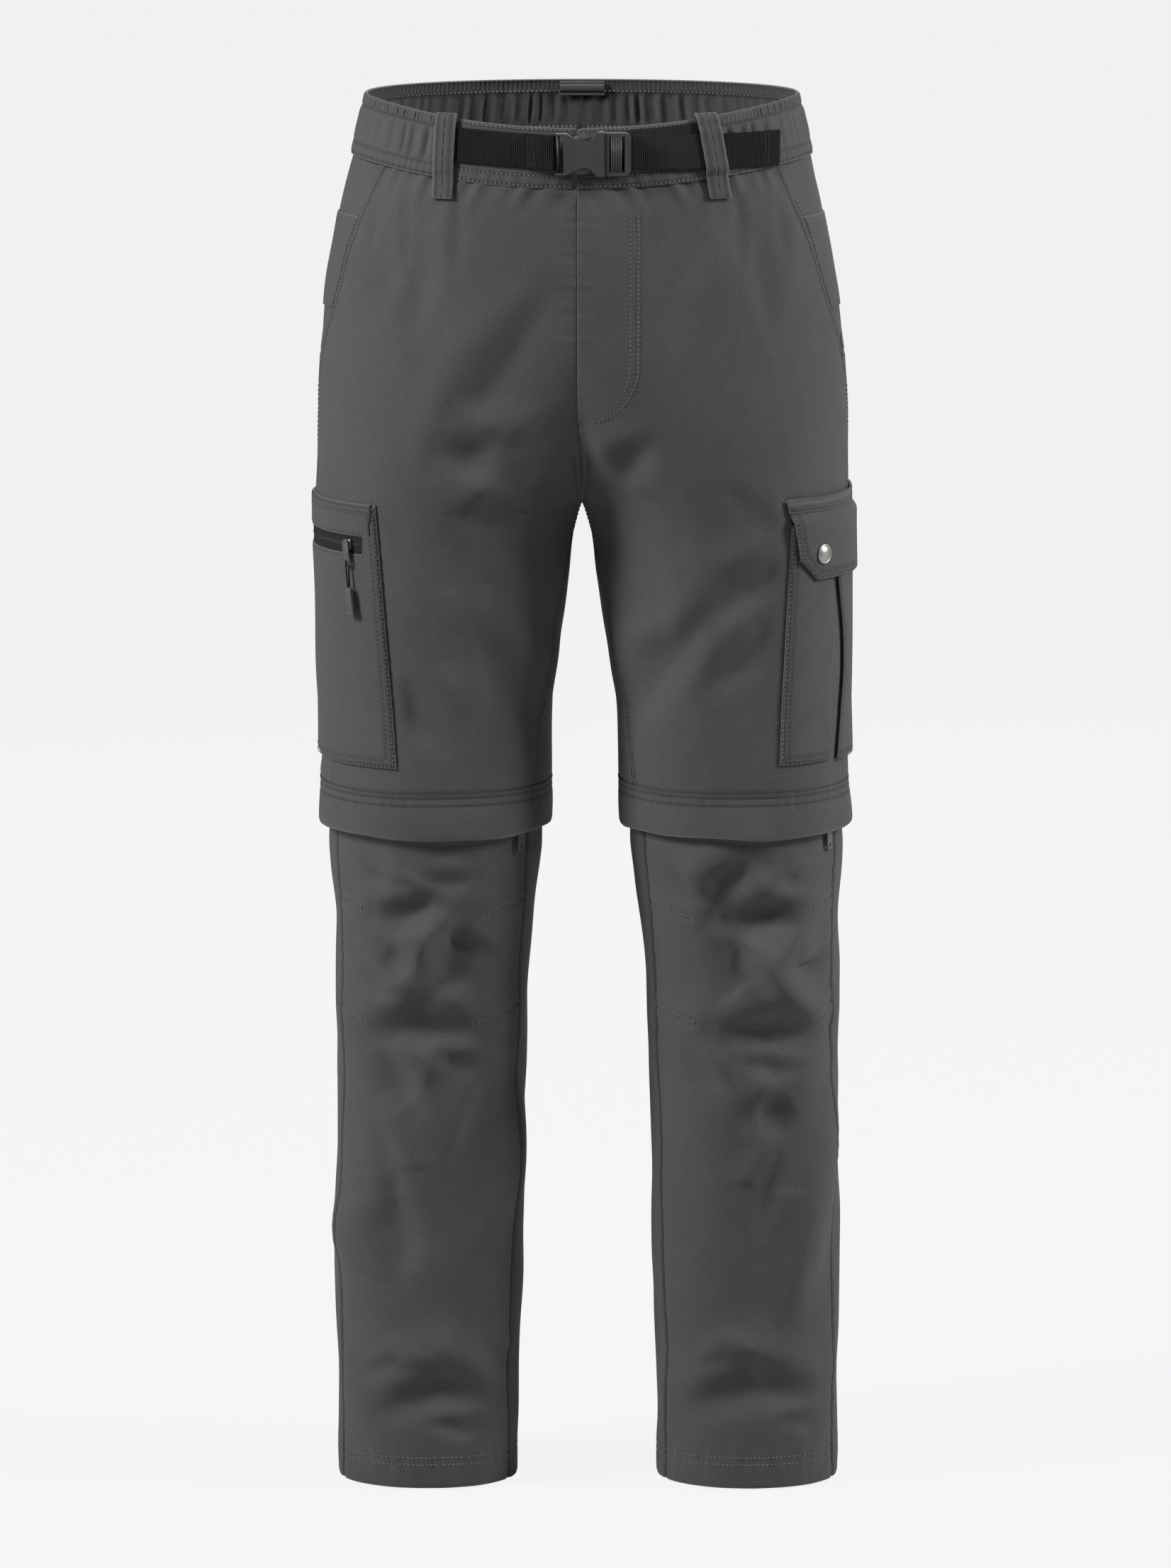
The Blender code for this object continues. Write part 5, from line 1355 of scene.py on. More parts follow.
SHORT_HEIGHTS = ((0.020, -0.0105), (0.104, -0.0051))
xs = np.concatenate([np.linspace(0.104, 0.0200, 60), [0.0186, 0.0174, 0.0164, 0.0158, 0.0156, 0.0160]])
middle_z = np.interp(xs, *np.transpose(SHORT_HEIGHTS))
near = smooth((0.040 - xs) / 0.020)
bar_y = np.concatenate([np.full(60, BUCKLE_BACK - 0.0052), BUCKLE_BACK - np.array(
    [0.0054, 0.0051, 0.0043, 0.0030, 0.0017, 0.0003])])
lift = (BELT_LIFT + STRAP_THICK) * (1 - near) + lift_at(-1, xs, bar_y) * near
strap("belt_short", -1, xs, middle_z, lift, ["belt_strap_short"])
for x in (0.0312, 0.0335, 0.0358):
    sew_across("belt", -1, x, float(np.interp(x, *np.transpose(SHORT_HEIGHTS))),
               float(np.interp(-x, -xs, lift)) + 0.0001)

xs = np.linspace(0.0365, 0.104, 40)
strap("belt_under", 1, xs, -0.0080 + 0.0060 * (xs - 0.03) / 0.07, BELT_LIFT + STRAP_THICK + 0 * xs,
      ["belt_strap_under"])
LONG_LIFT = BELT_LIFT + 2 * STRAP_THICK + 0.0004
xs = np.concatenate([np.linspace(0.0185, 0.0365, 14), np.linspace(0.0380, STRAP_END_X, 90)])
middle_z = -0.0105 - 0.0013 * (xs - 0.03) / 0.11
behind = smooth((0.050 - xs) / 0.012)
tip = smooth((xs - STRAP_END_X + TIP_LENGTH) / 0.0012)
lift = LONG_LIFT * (1 - behind) + lift_at(1, xs, BUCKLE_BACK + 0.0004) * behind
lift += 0.0009 * tip - 0.0010 * np.exp(-(((STRAP_END_X - xs) / 0.0008) ** 2))
lift += 0.0004 * np.sin(xs * 90.0) * smooth((xs - 0.05) / 0.02)
strap("belt_long", 1, xs, middle_z, lift, ["belt_strap_long"])
for x in (STRAP_END_X - TIP_LENGTH + 0.0030, STRAP_END_X - TIP_LENGTH + 0.0050):
    sew_across("belt", 1, x, -0.0118, LONG_LIFT + 0.0009)

# %% [markdown]
# ## Buckle
# A side-release buckle is moulded in two parts. The socket has horns that hold the strap bar and
# a notch at the top and bottom, where the springy arms of the insert bulge out so that fingers
# can squeeze them. The insert ends in a ladder-lock: a frame with a ridged bar between two slots.

# %% Moulded plates
def moulded(name, xs, heights, keep, y_back, depth, replaces, soften=0.0007):
    """A plate from a grid of columns xs and rows of heights, without the cells that keep drops."""
    bm = bmesh.new()
    rows, columns = heights.shape
    made = bmesh.ops.create_grid(bm, x_segments=columns - 1, y_segments=rows - 1, size=1)
    for vertex, x, z in zip(made["verts"], np.tile(xs, rows), heights.ravel()):
        vertex.co = (x, y_back, BUCKLE_MIDDLE + z)
    cells = [face for face in bm.faces if not keep(*face.calc_center_median().xz)]
    bmesh.ops.delete(bm, geom=cells, context="FACES")
    raised = bmesh.ops.extrude_face_region(bm, geom=bm.faces[:])["geom"]
    bmesh.ops.translate(bm, verts=[v for v in raised if isinstance(v, bmesh.types.BMVert)],
                        vec=(0, -depth, 0))
    bmesh.ops.recalc_face_normals(bm, faces=bm.faces)
    obj = add_piece(name, bm, "buckle plastic", replaces=replaces)
    soft = obj.modifiers.new("soft edges", "BEVEL")
    soft.width = soften
    soft.segments = 3
    soft.limit_method = "ANGLE"
    soft.angle_limit = math.radians(35)
    soft.harden_normals = True
    return obj


# %% Socket
SOCKET_EDGE = (
    # distance from the centre, half height
    (-0.0195, 0.0155),
    (-0.0119, 0.0155),
    (-0.0093, 0.0143),
    (-0.0051, 0.0114),
    (0.0017, 0.0097),
    (0.0059, 0.0107),
    (0.0088, 0.0137),
    (0.0113, 0.0167),
    (0.0168, 0.0167),
)
SLOT_HALF = 0.0139
SLOT_END_X = -0.0137
BUCKLE_DEPTH = 0.0080
xs = np.sort(np.concatenate([np.linspace(-0.0195, 0.0168, 40), [SLOT_END_X]]))
edge_z = np.interp(xs, *np.transpose(SOCKET_EDGE))
edge_z = np.convolve(np.pad(edge_z, 1, mode="edge"), (0.25, 0.5, 0.25), mode="valid")
inner = np.minimum(SLOT_HALF, edge_z - 0.0014)
heights = np.stack([-edge_z, -inner, inner, edge_z])
moulded("buckle_socket_body", xs, heights,
        lambda x, z: x > SLOT_END_X or abs(z - BUCKLE_MIDDLE) > SLOT_HALF * 0.5,
        BUCKLE_BACK, BUCKLE_DEPTH, ["buckle_socket"])
bm = bmesh.new()
bmesh.ops.create_cone(bm, cap_ends=True, segments=20, radius1=0.0012, radius2=0.0012,
                      depth=2 * SLOT_HALF + 0.001,
                      matrix=Matrix.Translation((-0.0176, BUCKLE_BACK - 0.0028, BUCKLE_MIDDLE)))
for end in (-1, 1):
    place = Matrix.Translation((0.0000, BUCKLE_BACK - 0.0040, BUCKLE_MIDDLE + end * 0.0098))
    bmesh.ops.create_icosphere(bm, subdivisions=3, radius=1.0,
                               matrix=place @ Matrix.Diagonal((0.0076, 0.0030, 0.0056, 1)))
add_piece("buckle_arms", bm, "buckle plastic")

# %% Insert
INSERT_X = (0.0172, 0.0206, 0.0216, 0.0296, 0.0318, 0.0362)
INSERT_HALF = 0.0160
INSERT_CORNER = 0.0042
xs = np.sort(np.concatenate([INSERT_X[:5], np.linspace(INSERT_X[4] + 0.0004, INSERT_X[5], 9)]))
into = np.clip((xs - INSERT_X[5] + INSERT_CORNER) / INSERT_CORNER, 0, 1)
edge_z = INSERT_HALF - INSERT_CORNER * (1 - np.sqrt(1 - into**2)) * 0.9
heights = np.stack([-edge_z, 0 * xs - 0.0133, 0 * xs + 0.0133, edge_z])
heights[1:3] = np.clip(heights[1:3], -edge_z + 0.0008, edge_z - 0.0008)


def insert_keeps(x, z):
    in_slot = INSERT_X[1] < x < INSERT_X[2] or INSERT_X[3] < x < INSERT_X[4]
    return not (in_slot and abs(z - BUCKLE_MIDDLE) < 0.0120)


moulded("buckle_insert_frame", xs, heights, insert_keeps, BUCKLE_BACK, BUCKLE_DEPTH - 0.0012,
        ["buckle_insert"], soften=0.0006)
bm = bmesh.new()
for ridge in range(5):
    x = 0.0222 + ridge * (0.0290 - 0.0222) / 4
    place = Matrix.Translation((x, BUCKLE_BACK - BUCKLE_DEPTH + 0.0013, BUCKLE_MIDDLE))
    bmesh.ops.create_cone(bm, cap_ends=True, segments=12, radius1=0.00062, radius2=0.00062,
                          depth=0.0255, matrix=place)
add_piece("buckle_ladder_ridges", bm, "buckle plastic")

# %% [markdown]
# ## Pockets on the thighs
# The zip pocket is one piece of cloth with a long window cut for its zip; its edges are folded
# under and sewn with two rows. The other thigh has a bellows pocket: a front part, a rear part
# behind an inward pleat, and a flap with a cut corner, sewn on under a narrow strip.

# %% Pocket helpers
POCKET_LIFT = 0.0009
POCKET_THICK = 0.0024


def to_angles(line):
    """A line of (distance from the centre, height) seen in front, in cloth coordinates."""
    x, z = np.transpose(dense(line, 0.004))
    return on_cloth(front_x(x, z), z)


def level_line(t_start, t_end, z, count=30):
    return on_cloth(np.linspace(t_start, t_end, count), np.full(count, z))


def edge_t(pair, z):
    """A straight pocket edge from its top to its bottom distance, as angles at height z."""
    return front_x(pair[0] + (pair[1] - pair[0]) * (POCKET_TOP - z) / (POCKET_TOP - POCKET_END), z)


def joined(*lines):
    """Lines end to end, without double points."""
    points = np.concatenate(lines)
    apart = np.linalg.norm(np.diff(points, axis=0), axis=1) > 1e-6
    return points[np.concatenate([[True], apart])]


def stand_off(distance, rise, roll=0.0030):
    """Lift of a pocket's cloth: low at its sewn edge, full height a few millimetres inside."""
    return POCKET_LIFT + 0.0007 + (rise - 0.0007) * smooth(distance / roll)


# %% Zip pocket
WINDOW = (-0.3020, -0.3150)
WINDOW_END_X = 0.1635
POCKET_ROWS = (0.0020, 0.0066)
window_t = float(front_x(WINDOW_END_X, WINDOW[1]))
rear_share = np.linspace(0, 1, 34)[None, :]
v_top = crowded(7, POCKET_TOP - WINDOW[0])[:, None] * (POCKET_TOP - WINDOW[0])
v_window = np.linspace(0.0015, 0.0115, 6)[:, None] + (POCKET_TOP - WINDOW[0])
v_bag = crowded(52, WINDOW[1] - POCKET_END)[:, None] * (WINDOW[1] - POCKET_END) + (POCKET_TOP - WINDOW[1])
z = POCKET_TOP - np.concatenate([v_top, v_window, v_bag])
steps = EDGE_STEPS / girth(z)
front_t = edge_t(ZIP_POCKET_X, z)
columns = [POCKET_REAR + steps[:, :-1], (POCKET_REAR + steps[:, -1:]) * (1 - rear_share)
           + (window_t - steps[:, -1:]) * rear_share, window_t - steps[:, -2::-1]]
right = np.linspace(0, 1, 6)[None, :]
start, end = window_t + steps[:, -2:-1], front_t - steps[:, -2:-1]
columns += [window_t + steps[:, 1:-2], start * (1 - right) + end * right, front_t - steps[:, -3::-1]]
t = np.concatenate(columns, axis=1)
z = z + 0 * t
cloth = on_cloth(t, z)
heights = np.linspace(POCKET_TOP, POCKET_END, 60)
outline = joined(level_line(POCKET_REAR, edge_t(ZIP_POCKET_X, POCKET_TOP), POCKET_TOP),
                 on_cloth(edge_t(ZIP_POCKET_X, heights), heights),
                 level_line(edge_t(ZIP_POCKET_X, POCKET_END), POCKET_REAR, POCKET_END))
window_line = joined(level_line(POCKET_REAR, window_t, WINDOW[0], 12),
                     level_line(window_t, POCKET_REAR, WINDOW[1], 12))
to_outline = away_from(outline, cloth[..., 0], cloth[..., 1])
to_window = away_from(window_line, cloth[..., 0], cloth[..., 1])
to_rear = np.abs(t - POCKET_REAR) * girth(z)
lift = stand_off(np.minimum(to_outline, to_rear), 0.0024)
for row in POCKET_ROWS:
    lift += stitched(to_outline - row, 0.00032)
lift += stitched(to_window - 0.0016, 0.00030) + turned(to_window, depth=0.0008, width=0.0007)
lift += puckers(cloth[..., 1], to_outline, 0.00022, 0.0110)
lift += 0.0005 * np.exp(-((cloth[..., 0] - 0.010) / 0.012) ** 2) * np.sin(z * 60 + 1.2)
inside = (z < WINDOW[0] - 0.0002) & (z > WINDOW[1] + 0.0002) & (t < window_t - 0.05)
middles = (t[:-1, :-1] + t[1:, 1:]) / 2, (z[:-1, :-1] + z[1:, 1:]) / 2
cut = (middles[0] < window_t) & (middles[1] < WINDOW[0]) & (middles[1] > WINDOW[1])
shell("zip_pocket_cloth", -1, skin(-1, t, z, lift), t, z,
      edge=worn_and_lit_edge(to_outline, to_window, to_rear), replaces=["zip_pocket_top", "zip_pocket_bag"],
      painted_channel_shade=channel(to_outline - POCKET_ROWS[0], to_outline - POCKET_ROWS[1], to_window - 0.0016),
      cut=cut)
for row in POCKET_ROWS:
    sew_line("zip_pocket", -1, offset_line(outline, -row), POCKET_LIFT + 0.0021,
             thread="grey thread")
sew_line("zip_pocket", -1, level_line(POCKET_REAR + 1, window_t + 0.4, WINDOW[0] + 0.0016),
         POCKET_LIFT + 0.0021, thread="grey thread")
sew_line("zip_pocket", -1, level_line(POCKET_REAR + 1, window_t + 0.4, WINDOW[1] - 0.0016),
         POCKET_LIFT + 0.0021, thread="grey thread")
for column in (0.0014, 0.0038):
    z = np.linspace(WINDOW[0] + 0.0016, WINDOW[1] - 0.0016, 12)
    sew("zip_pocket", -1, window_t + column / girth(z), z, POCKET_LIFT + 0.0021, thread="grey thread")

# %% Flap pocket, front and rear part
BAG_X = (0.1575, 0.1455)
PLEAT = ((-0.29, 0.1865), (-0.336, 0.1885), (-0.379, 0.1903), (-0.42, 0.1890), (-0.477, 0.1840))
PLEAT_GAP = ((-0.29, 0.0010), (-0.35, 0.0022), (-0.41, 0.0045), (-0.477, 0.0024))
FLAP_SEAM = -0.2820
BAG_TOP = FLAP_SEAM - 0.0105
PLEAT_OPEN = 1.9


def pleat_t(z, side):
    """One lip of the pleat: side −1 is its front, +1 its rear."""
    return front_x(along(PLEAT, z) + side * PLEAT_OPEN * along(PLEAT_GAP, z) / 2, z)


for part, end, t_start, t_end, columns in (
        ("front", POCKET_END + 0.002, lambda z: pleat_t(z, -1), lambda z: edge_t(BAG_X, z), 16),
        ("rear", POCKET_END, lambda z: POCKET_REAR + 0 * z, lambda z: pleat_t(z, 1), 30)):
    t, z, (to_start, to_end, to_top, to_low) = panel(BAG_TOP, end, t_start, t_end, 56, columns, False)
    sewn, lip = (to_end, to_start) if part == "front" else (to_start, to_end)
    rise = 0.0024 if part == "front" else 0.0024 + 0.0012 * smooth((t + 20) / 40)
    lift = stand_off(np.minimum(sewn, to_low), rise)
    lift += turned(lip, depth=0.0016, width=0.0011)
    for row in (0.0012, 0.0062):
        lift += stitched(to_low - row, 0.0003)
        if part == "front":
            lift += stitched(sewn - row, 0.0003)
    if part == "front":
        lift += 0.0005 * np.sin(z * 95.0 + 0.5) * np.exp(-((lip / 0.006) ** 2))
        lift += puckers(z, sewn, 0.0002, 0.0115)
    shell(f"flap_pocket_{part}_cloth", 1, skin(1, t, z, lift), t, z,
          edge=worn_and_lit_edge(sewn, lip, to_low), replaces=[f"cargo_pocket_{part}"],
          painted_channel_shade=channel(*(edge - row for edge in ((sewn, to_low) if part == "front" else (to_low,))
                         for row in (0.0012, 0.0062))))
    if part == "front":
        heights = np.linspace(BAG_TOP - 0.002, end + 0.0012, 100)
        for row in (0.0012, 0.0062):
            sew("flap_pocket", 1, edge_t(BAG_X, heights) - row / girth(heights), heights,
                POCKET_LIFT + 0.0020, thread="grey thread")
    for row in (0.0012, 0.0062):
        low_t = np.linspace(float(t[-1, 0]) + 0.3, float(t[-1, -1]) - 0.3, 40)
        sew("flap_pocket", 1, low_t, end + row + 0 * low_t,
            POCKET_LIFT + (0.0020 if part == "front" else 0.0026), thread="grey thread")

# %% Flap and its strip
FLAP_FRONT_X = (0.1545, 0.1605)
FLAP_FRONT_END = -0.3190
FLAP_CORNER = (0.1725, -0.3355)
strip_end = float(front_x(0.1535, -0.28))
t, z, (to_rear, to_front, to_top, to_low) = panel(
    POCKET_TOP + 0.001, FLAP_SEAM + SEAM, lambda z: POCKET_REAR - 1 + 0 * z,
    lambda z: strip_end + 0 * z, 6, 44, False)
lift = POCKET_LIFT + 0.0015 + turned(to_top, to_front, depth=0.0007, width=0.0008)
shell("flap_strip_cloth", 1, skin(1, t, z, lift), t, z, edge=worn_and_lit_edge(to_top, to_front),
      thickness=0.0010, replaces=["cargo_flap_seam"])
sew_line("flap", 1, level_line(POCKET_REAR, strip_end - 0.4, POCKET_TOP - 0.0012), POCKET_LIFT + 0.0018,
         thread="grey thread")

corner_t = float(front_x(*FLAP_CORNER))
low_front_t = float(front_x(FLAP_FRONT_X[1], FLAP_FRONT_END))
top_front_t = float(front_x(FLAP_FRONT_X[0], FLAP_SEAM))
share = np.concatenate([np.linspace(0, 0.80, 46), np.linspace(0.80, 1, 24)[1:]])[None, :]
low_t = POCKET_REAR - 1 + (low_front_t - POCKET_REAR + 1) * share
low_z = np.interp(low_t, [POCKET_REAR, corner_t, low_front_t], [FLAP_CORNER[1], FLAP_CORNER[1], FLAP_FRONT_END])
top_t = POCKET_REAR - 1 + (top_front_t - POCKET_REAR + 1) * share
down = crowded(20, FLAP_SEAM - FLAP_CORNER[1])[:, None]
t = top_t * (1 - down) + low_t * down
z = FLAP_SEAM * (1 - down) + low_z * down
flap_edge = np.array([(POCKET_REAR - 1, FLAP_CORNER[1]), (corner_t, FLAP_CORNER[1]),
                      (low_front_t, FLAP_FRONT_END), (top_front_t, FLAP_SEAM)])
flap_edge = dense(flap_edge * (0.01, 1), 0.004) / (0.01, 1)
flap_line = on_cloth(flap_edge[:, 0], flap_edge[:, 1])
cloth = on_cloth(t, z)
to_edge = away_from(flap_line, cloth[..., 0], cloth[..., 1])
lift = POCKET_LIFT + 0.0012 + (POCKET_THICK + 0.0024) * smooth((FLAP_SEAM - z) / 0.009)
lift += 0.0006 * np.sin(cloth[..., 0] * 55 + 0.7) * smooth((FLAP_SEAM - z - 0.015) / 0.03)
flap_lift = lift.copy()
lift += turned(to_edge, depth=0.0008, width=0.0009) + puckers(cloth[..., 0] + z, to_edge, 0.00018, 0.0105)
for row in (0.0014, 0.0064):
    lift += stitched(to_edge - row, 0.0003)
shell("flap_cloth", 1, skin(1, t, z, lift), t, z, edge=worn_and_lit_edge(to_edge), thickness=0.0018,
      painted_channel_shade=channel(to_edge - 0.0014, to_edge - 0.0064, width=0.0014),
      replaces=["cargo_flap"])
for row in (0.0014, 0.0064):
    line = dense(offset_line(flap_line, row))
    line = line[line[:, 1] < FLAP_SEAM - 0.001]
    rise = POCKET_LIFT + 0.0012 + (POCKET_THICK + 0.0024) * smooth((FLAP_SEAM - line[:, 1]) / 0.009)
    rise += 0.0006 * np.sin(line[:, 0] * 55 + 0.7) * smooth((FLAP_SEAM - line[:, 1] - 0.015) / 0.03)
    sew("flap", 1, line[:, 0] / girth(line[:, 1]), line[:, 1], rise - 0.0002, thread="grey thread")
sew_line("flap", 1, level_line(POCKET_REAR, top_front_t - 0.6, FLAP_SEAM - 0.0018), POCKET_LIFT + 0.0016,
         thread="grey thread")

# %% [markdown]
# ## Zips, pulls and snap
# Zip tape is knitted black tape with a coil of monofilament. The sliders and pull tabs are die
# cast and plated dark; the pocket's pull has a cord loop and a moulded grip, so that it can be
# found with gloves on. The snap's cap is a shallow turned dome with a rolled rim.

# %% Zip tape and coil
def coil(name, half, t, z, lift, pitch, length, width):
    """Beads across a line on the cloth: the turns of a zip's coil."""
    points, out = skin(half, t, z, lift), out_of(half, t, z)
    run = np.concatenate([[0], np.cumsum(np.linalg.norm(np.diff(points, axis=0), axis=1))])
    at = (np.arange(int(run[-1] / pitch)) + 0.5) * pitch
    bm = bmesh.new()
    for distance in at:
        point, normal, ahead = (np.array([np.interp(distance + step, run, grid[:, k]) for k in range(3)])
                                for grid, step in ((points, 0), (out, 0), (points, pitch)))
        way = Vector(ahead - point).normalized()
        up = Vector(normal).normalized()
        side = way.cross(up).normalized()
        matrix = Matrix((side * length / 2, way * width / 2, up * width / 2)).transposed().to_4x4()
        matrix.translation = Vector(point)
        bmesh.ops.create_icosphere(bm, subdivisions=1, radius=1.0, matrix=matrix)
    bmesh.ops.recalc_face_normals(bm, faces=bm.faces)
    add_piece(name, bm, "zip coil")


for side, half in SIDES:
    turn = np.linspace(0, 360, 241)[None, :]
    down = np.linspace(0, 1, 9)[:, None]
    z = UPPER_END - SEAM + (ZIP_END - UPPER_END + SEAM) * down + 0 * turn
    lift = -0.0002 - 0.0010 * down + 0.0004 * np.sin(down * math.pi * 6) + 0 * turn
    shell(f"leg_zip_tape_{side}", half, skin(half, turn + 0 * z, z, under_flare(z, lift)), turn + 0 * z, z,
          material="zip tape", thickness=0.0010, replaces=[f"leg_zip_{side}"])
    turn = np.linspace(0, 360, 400)
    height = (UPPER_END + ZIP_END) / 2 + 0 * turn
    coil(f"leg_zip_coil_{side}", half, turn, height, under_flare(height, 0.0002), 0.0020, 0.0046, 0.0016)

t, z, distances = panel(WINDOW[0] + 0.0006, WINDOW[1] - 0.0006, lambda z: POCKET_REAR + 0 * z,
                        lambda z: window_t + 0.4 + 0 * z, 12, 30, False)
across = (z - WINDOW[1]) / (WINDOW[0] - WINDOW[1])
lift = POCKET_LIFT + 0.0009 + 0.00022 * np.cos(across * math.pi * 12)
shell("pocket_zip_tape", -1, skin(-1, t, z, lift), t, z, material="zip tape", thickness=0.0007,
      replaces=["zip_pocket_zip"])
turn = np.linspace(POCKET_REAR + 1, window_t - 0.2, 60)
coil("pocket_zip_coil", -1, turn, (WINDOW[0] + WINDOW[1]) / 2 + 0 * turn, POCKET_LIFT + 0.0012,
     0.0016, 0.0040, 0.0014)

# %% Sliders and tabs
def local(half, t, z, lift):
    """A frame on the cloth: x towards the front, y up, z outwards."""
    point = skin(half, np.array([t]), np.array([z]), lift)[0]
    out = out_of(half, np.array([t]), np.array([z]))[0]
    out = Vector((out[0], out[1], 0)).normalized()
    up = Vector((0, 0, 1))
    side = up.cross(out) * half
    matrix = Matrix((side, up, out)).transposed().to_4x4()
    matrix.translation = Vector(point)
    return matrix


def box(bm, size, at, soft=0.0, segments=2):
    """A bevelled block at a place in its own frame."""
    made = bmesh.ops.create_cube(bm, size=1, matrix=Matrix.Translation(at) @ Matrix.Diagonal((*size, 1)))
    if soft:
        edges = {edge for vertex in made["verts"] for edge in vertex.link_edges}
        bmesh.ops.bevel(bm, geom=list(edges), offset=soft, segments=segments, affect="EDGES",
                        profile=0.5, material=-1)


def lay(bm, matrix):
    bmesh.ops.transform(bm, matrix=matrix, verts=bm.verts)
    bmesh.ops.recalc_face_normals(bm, faces=bm.faces)


def slider(name, half, t, z, lift, size, replaces):
    """A slider: its plate, the raised bridge that holds the tab, and the bridge's rivet."""
    bm = bmesh.new()
    box(bm, size, (0, 0, size[2] / 2), min(size) * 0.3)
    box(bm, (size[0] * 0.34, size[1] * 0.95, size[2] * 0.9), (0, 0, size[2] * 1.25), size[2] * 0.25)
    bmesh.ops.create_icosphere(bm, subdivisions=2, radius=1.0,
                               matrix=Matrix.Translation((0, size[1] * 0.18, size[2] * 1.7))
                               @ Matrix.Diagonal((0.0011, 0.0011, 0.0005, 1)))
    lay(bm, local(half, t, z, lift))
    add_piece(name, bm, "dark nickel", replaces=replaces)


def tab(name, body, matrix, length, width, thick, lean, replaces, eye=0.0016):
    """A pull tab with round ends, an eye at its foot and grip ribs across it."""
    bm = bmesh.new()
    outer = bmesh.ops.create_circle(bm, segments=32, radius=width / 2)["verts"]
    for vertex in outer:
        vertex.co.y -= width / 2 if vertex.co.y > 1e-6 else length - width / 2
    bmesh.ops.create_circle(bm, segments=32, radius=eye,
                            matrix=Matrix.Translation((0, -length + width / 2 + 0.0002, 0)))
    bmesh.ops.bridge_loops(bm, edges=bm.edges[:])
    raised = bmesh.ops.extrude_face_region(bm, geom=bm.faces[:])["geom"]
    bmesh.ops.translate(bm, verts=[v for v in raised if isinstance(v, bmesh.types.BMVert)],
                        vec=(0, 0, thick))
    bmesh.ops.translate(bm, verts=bm.verts, vec=(0, 0, -thick / 2))
    for rib in range(5):
        box(bm, (width * 0.56, 0.0008, 0.0007), (0, -length * (0.20 + 0.095 * rib), thick / 2), 0.0002, 1)
    for vertex in bm.verts:
        vertex.co.x += lean * -vertex.co.y / length
    lay(bm, matrix)
    obj = add_piece(name, bm, "dark nickel", body, replaces)
    soft = obj.modifiers.new("soft edges", "BEVEL")
    soft.width = 0.00022
    soft.segments = 2
    soft.limit_method = "ANGLE"
    soft.angle_limit = math.radians(40)
    soft.harden_normals = True


# %% Pocket pull
PULL_X = 0.1735
PULL_Z = -0.3045
PULL_LIFT = 0.0062
PULL_LEAN = 0.0062
TAB_LENGTH = 0.0200
TAB_WIDTH = 0.0066
GRIP_TOP = -0.3410
GRIP_END = -0.3615
GRIP_WIDTH = 0.0080
pull_t = float(front_x(PULL_X, PULL_Z))
slider("pocket_slider", -1, pull_t, PULL_Z - 0.0035, POCKET_LIFT + 0.0022, (0.0080, 0.0070, 0.0016),
       ["pocket_zip_slider"])
pull_frame = local(-1, pull_t, PULL_Z, PULL_LIFT)
pull_length = PULL_Z - GRIP_END
tab("pocket_tab", "pocket_pull", pull_frame, TAB_LENGTH, TAB_WIDTH, 0.0010,
    -PULL_LEAN * TAB_LENGTH / pull_length, ["pocket_pull_tab"])
bm = bmesh.new()
grip_length = GRIP_TOP - GRIP_END
box(bm, (GRIP_WIDTH, grip_length, 0.0040), (0, (GRIP_TOP + GRIP_END) / 2 - PULL_Z, 0), 0.0014, 4)
for vertex in bm.verts:
    drop = (GRIP_TOP - PULL_Z - vertex.co.y) / grip_length
    vertex.co.x *= 0.80 + 0.20 * smooth(drop * 1.4)
    vertex.co.z *= 1 - 0.25 * drop
for rib in range(4):
    box(bm, (GRIP_WIDTH * 0.62, 0.0009, 0.0006), (0, GRIP_END - PULL_Z + 0.0042 + rib * 0.0023, 0.0017),
        0.0002, 1)
for vertex in bm.verts:
    vertex.co.x += -PULL_LEAN * -vertex.co.y / pull_length
lay(bm, pull_frame)
add_piece("pocket_grip", bm, "grip plastic", "pocket_pull", ["pocket_pull_grip"])

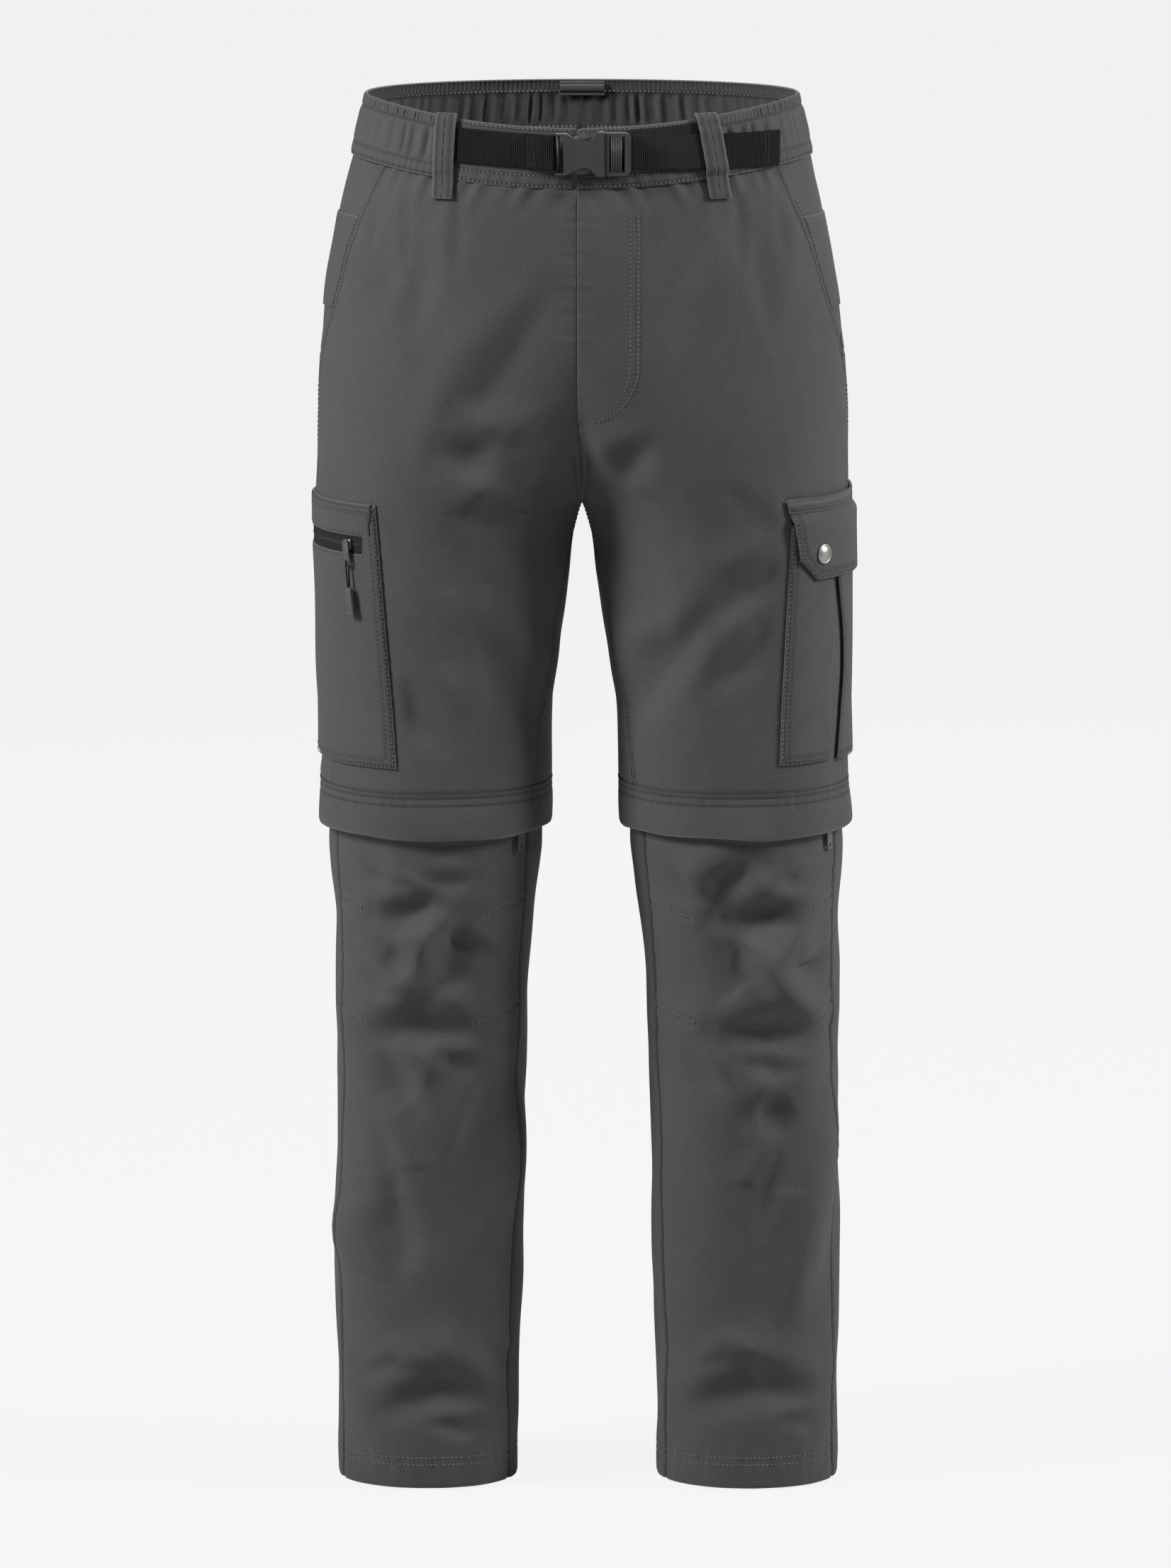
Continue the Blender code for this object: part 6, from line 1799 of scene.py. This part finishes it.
# %% Leg pulls
PULL_TOP = -0.5170
PULL_LENGTH = 0.0280
PULL_WIDTH = 0.0070
PULL_THICK = 0.0008
LEG_PULL_X = {"right": 0.0500, "left": 0.1835}
for side, half in SIDES:
    t = float(front_x(LEG_PULL_X[side], PULL_TOP))
    slider(f"leg_slider_body_{side}", half, t, PULL_TOP + 0.0020, under_flare(PULL_TOP, -0.0001),
           (0.0100, 0.0080, 0.0009), [f"leg_slider_{side}"])
    lift = under_flare(PULL_TOP, -0.0001 + 0.0014 + SEAM + PULL_THICK / 2)
    tab(f"leg_tab_{side}", f"leg_pull_{side}", local(half, t, PULL_TOP + 0.0010, lift),
        PULL_LENGTH + 0.0010, PULL_WIDTH, PULL_THICK, 0.0, [f"leg_pull_{side}"])

# %% Snap
SNAP = (0.1765, -0.3159)
SNAP_PROFILE = (
    # radius, height above the flap
    (0.0000, 0.0030),
    (0.0028, 0.0028),
    (0.0050, 0.0021),
    (0.0060, 0.0013),
    (0.0063, 0.0009),
    (0.0066, 0.0013),
    (0.0072, 0.0013),
    (0.0075, 0.0008),
    (0.0075, 0.0000),
    (0.0000, -0.0002),
)
bm = bmesh.new()
ring = [bm.verts.new((radius, 0, height)) for radius, height in SNAP_PROFILE]
edges = [bm.edges.new(pair) for pair in zip(ring, ring[1:])]
bmesh.ops.spin(bm, geom=ring + edges, cent=(0, 0, 0), axis=(0, 0, 1), steps=40, angle=2 * math.pi,
               use_merge=True)
bmesh.ops.remove_doubles(bm, verts=bm.verts, dist=1e-6)
lay(bm, local(1, float(front_x(*SNAP)), SNAP[1], POCKET_LIFT + POCKET_THICK + 0.0034))
add_piece("snap_cap", bm, "pewter", replaces=["cargo_snap"])

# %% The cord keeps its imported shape
cord = bpy.data.objects["pocket_pull_cord"]
for number in range(len(cord.material_slots)):
    cord.material_slots[number].material = MATERIALS["webbing"]

# %% [markdown]
# ## Finishing
# The rows of stitches become pieces, one for each seam and thread.

# %% Finish
finish_sewing()
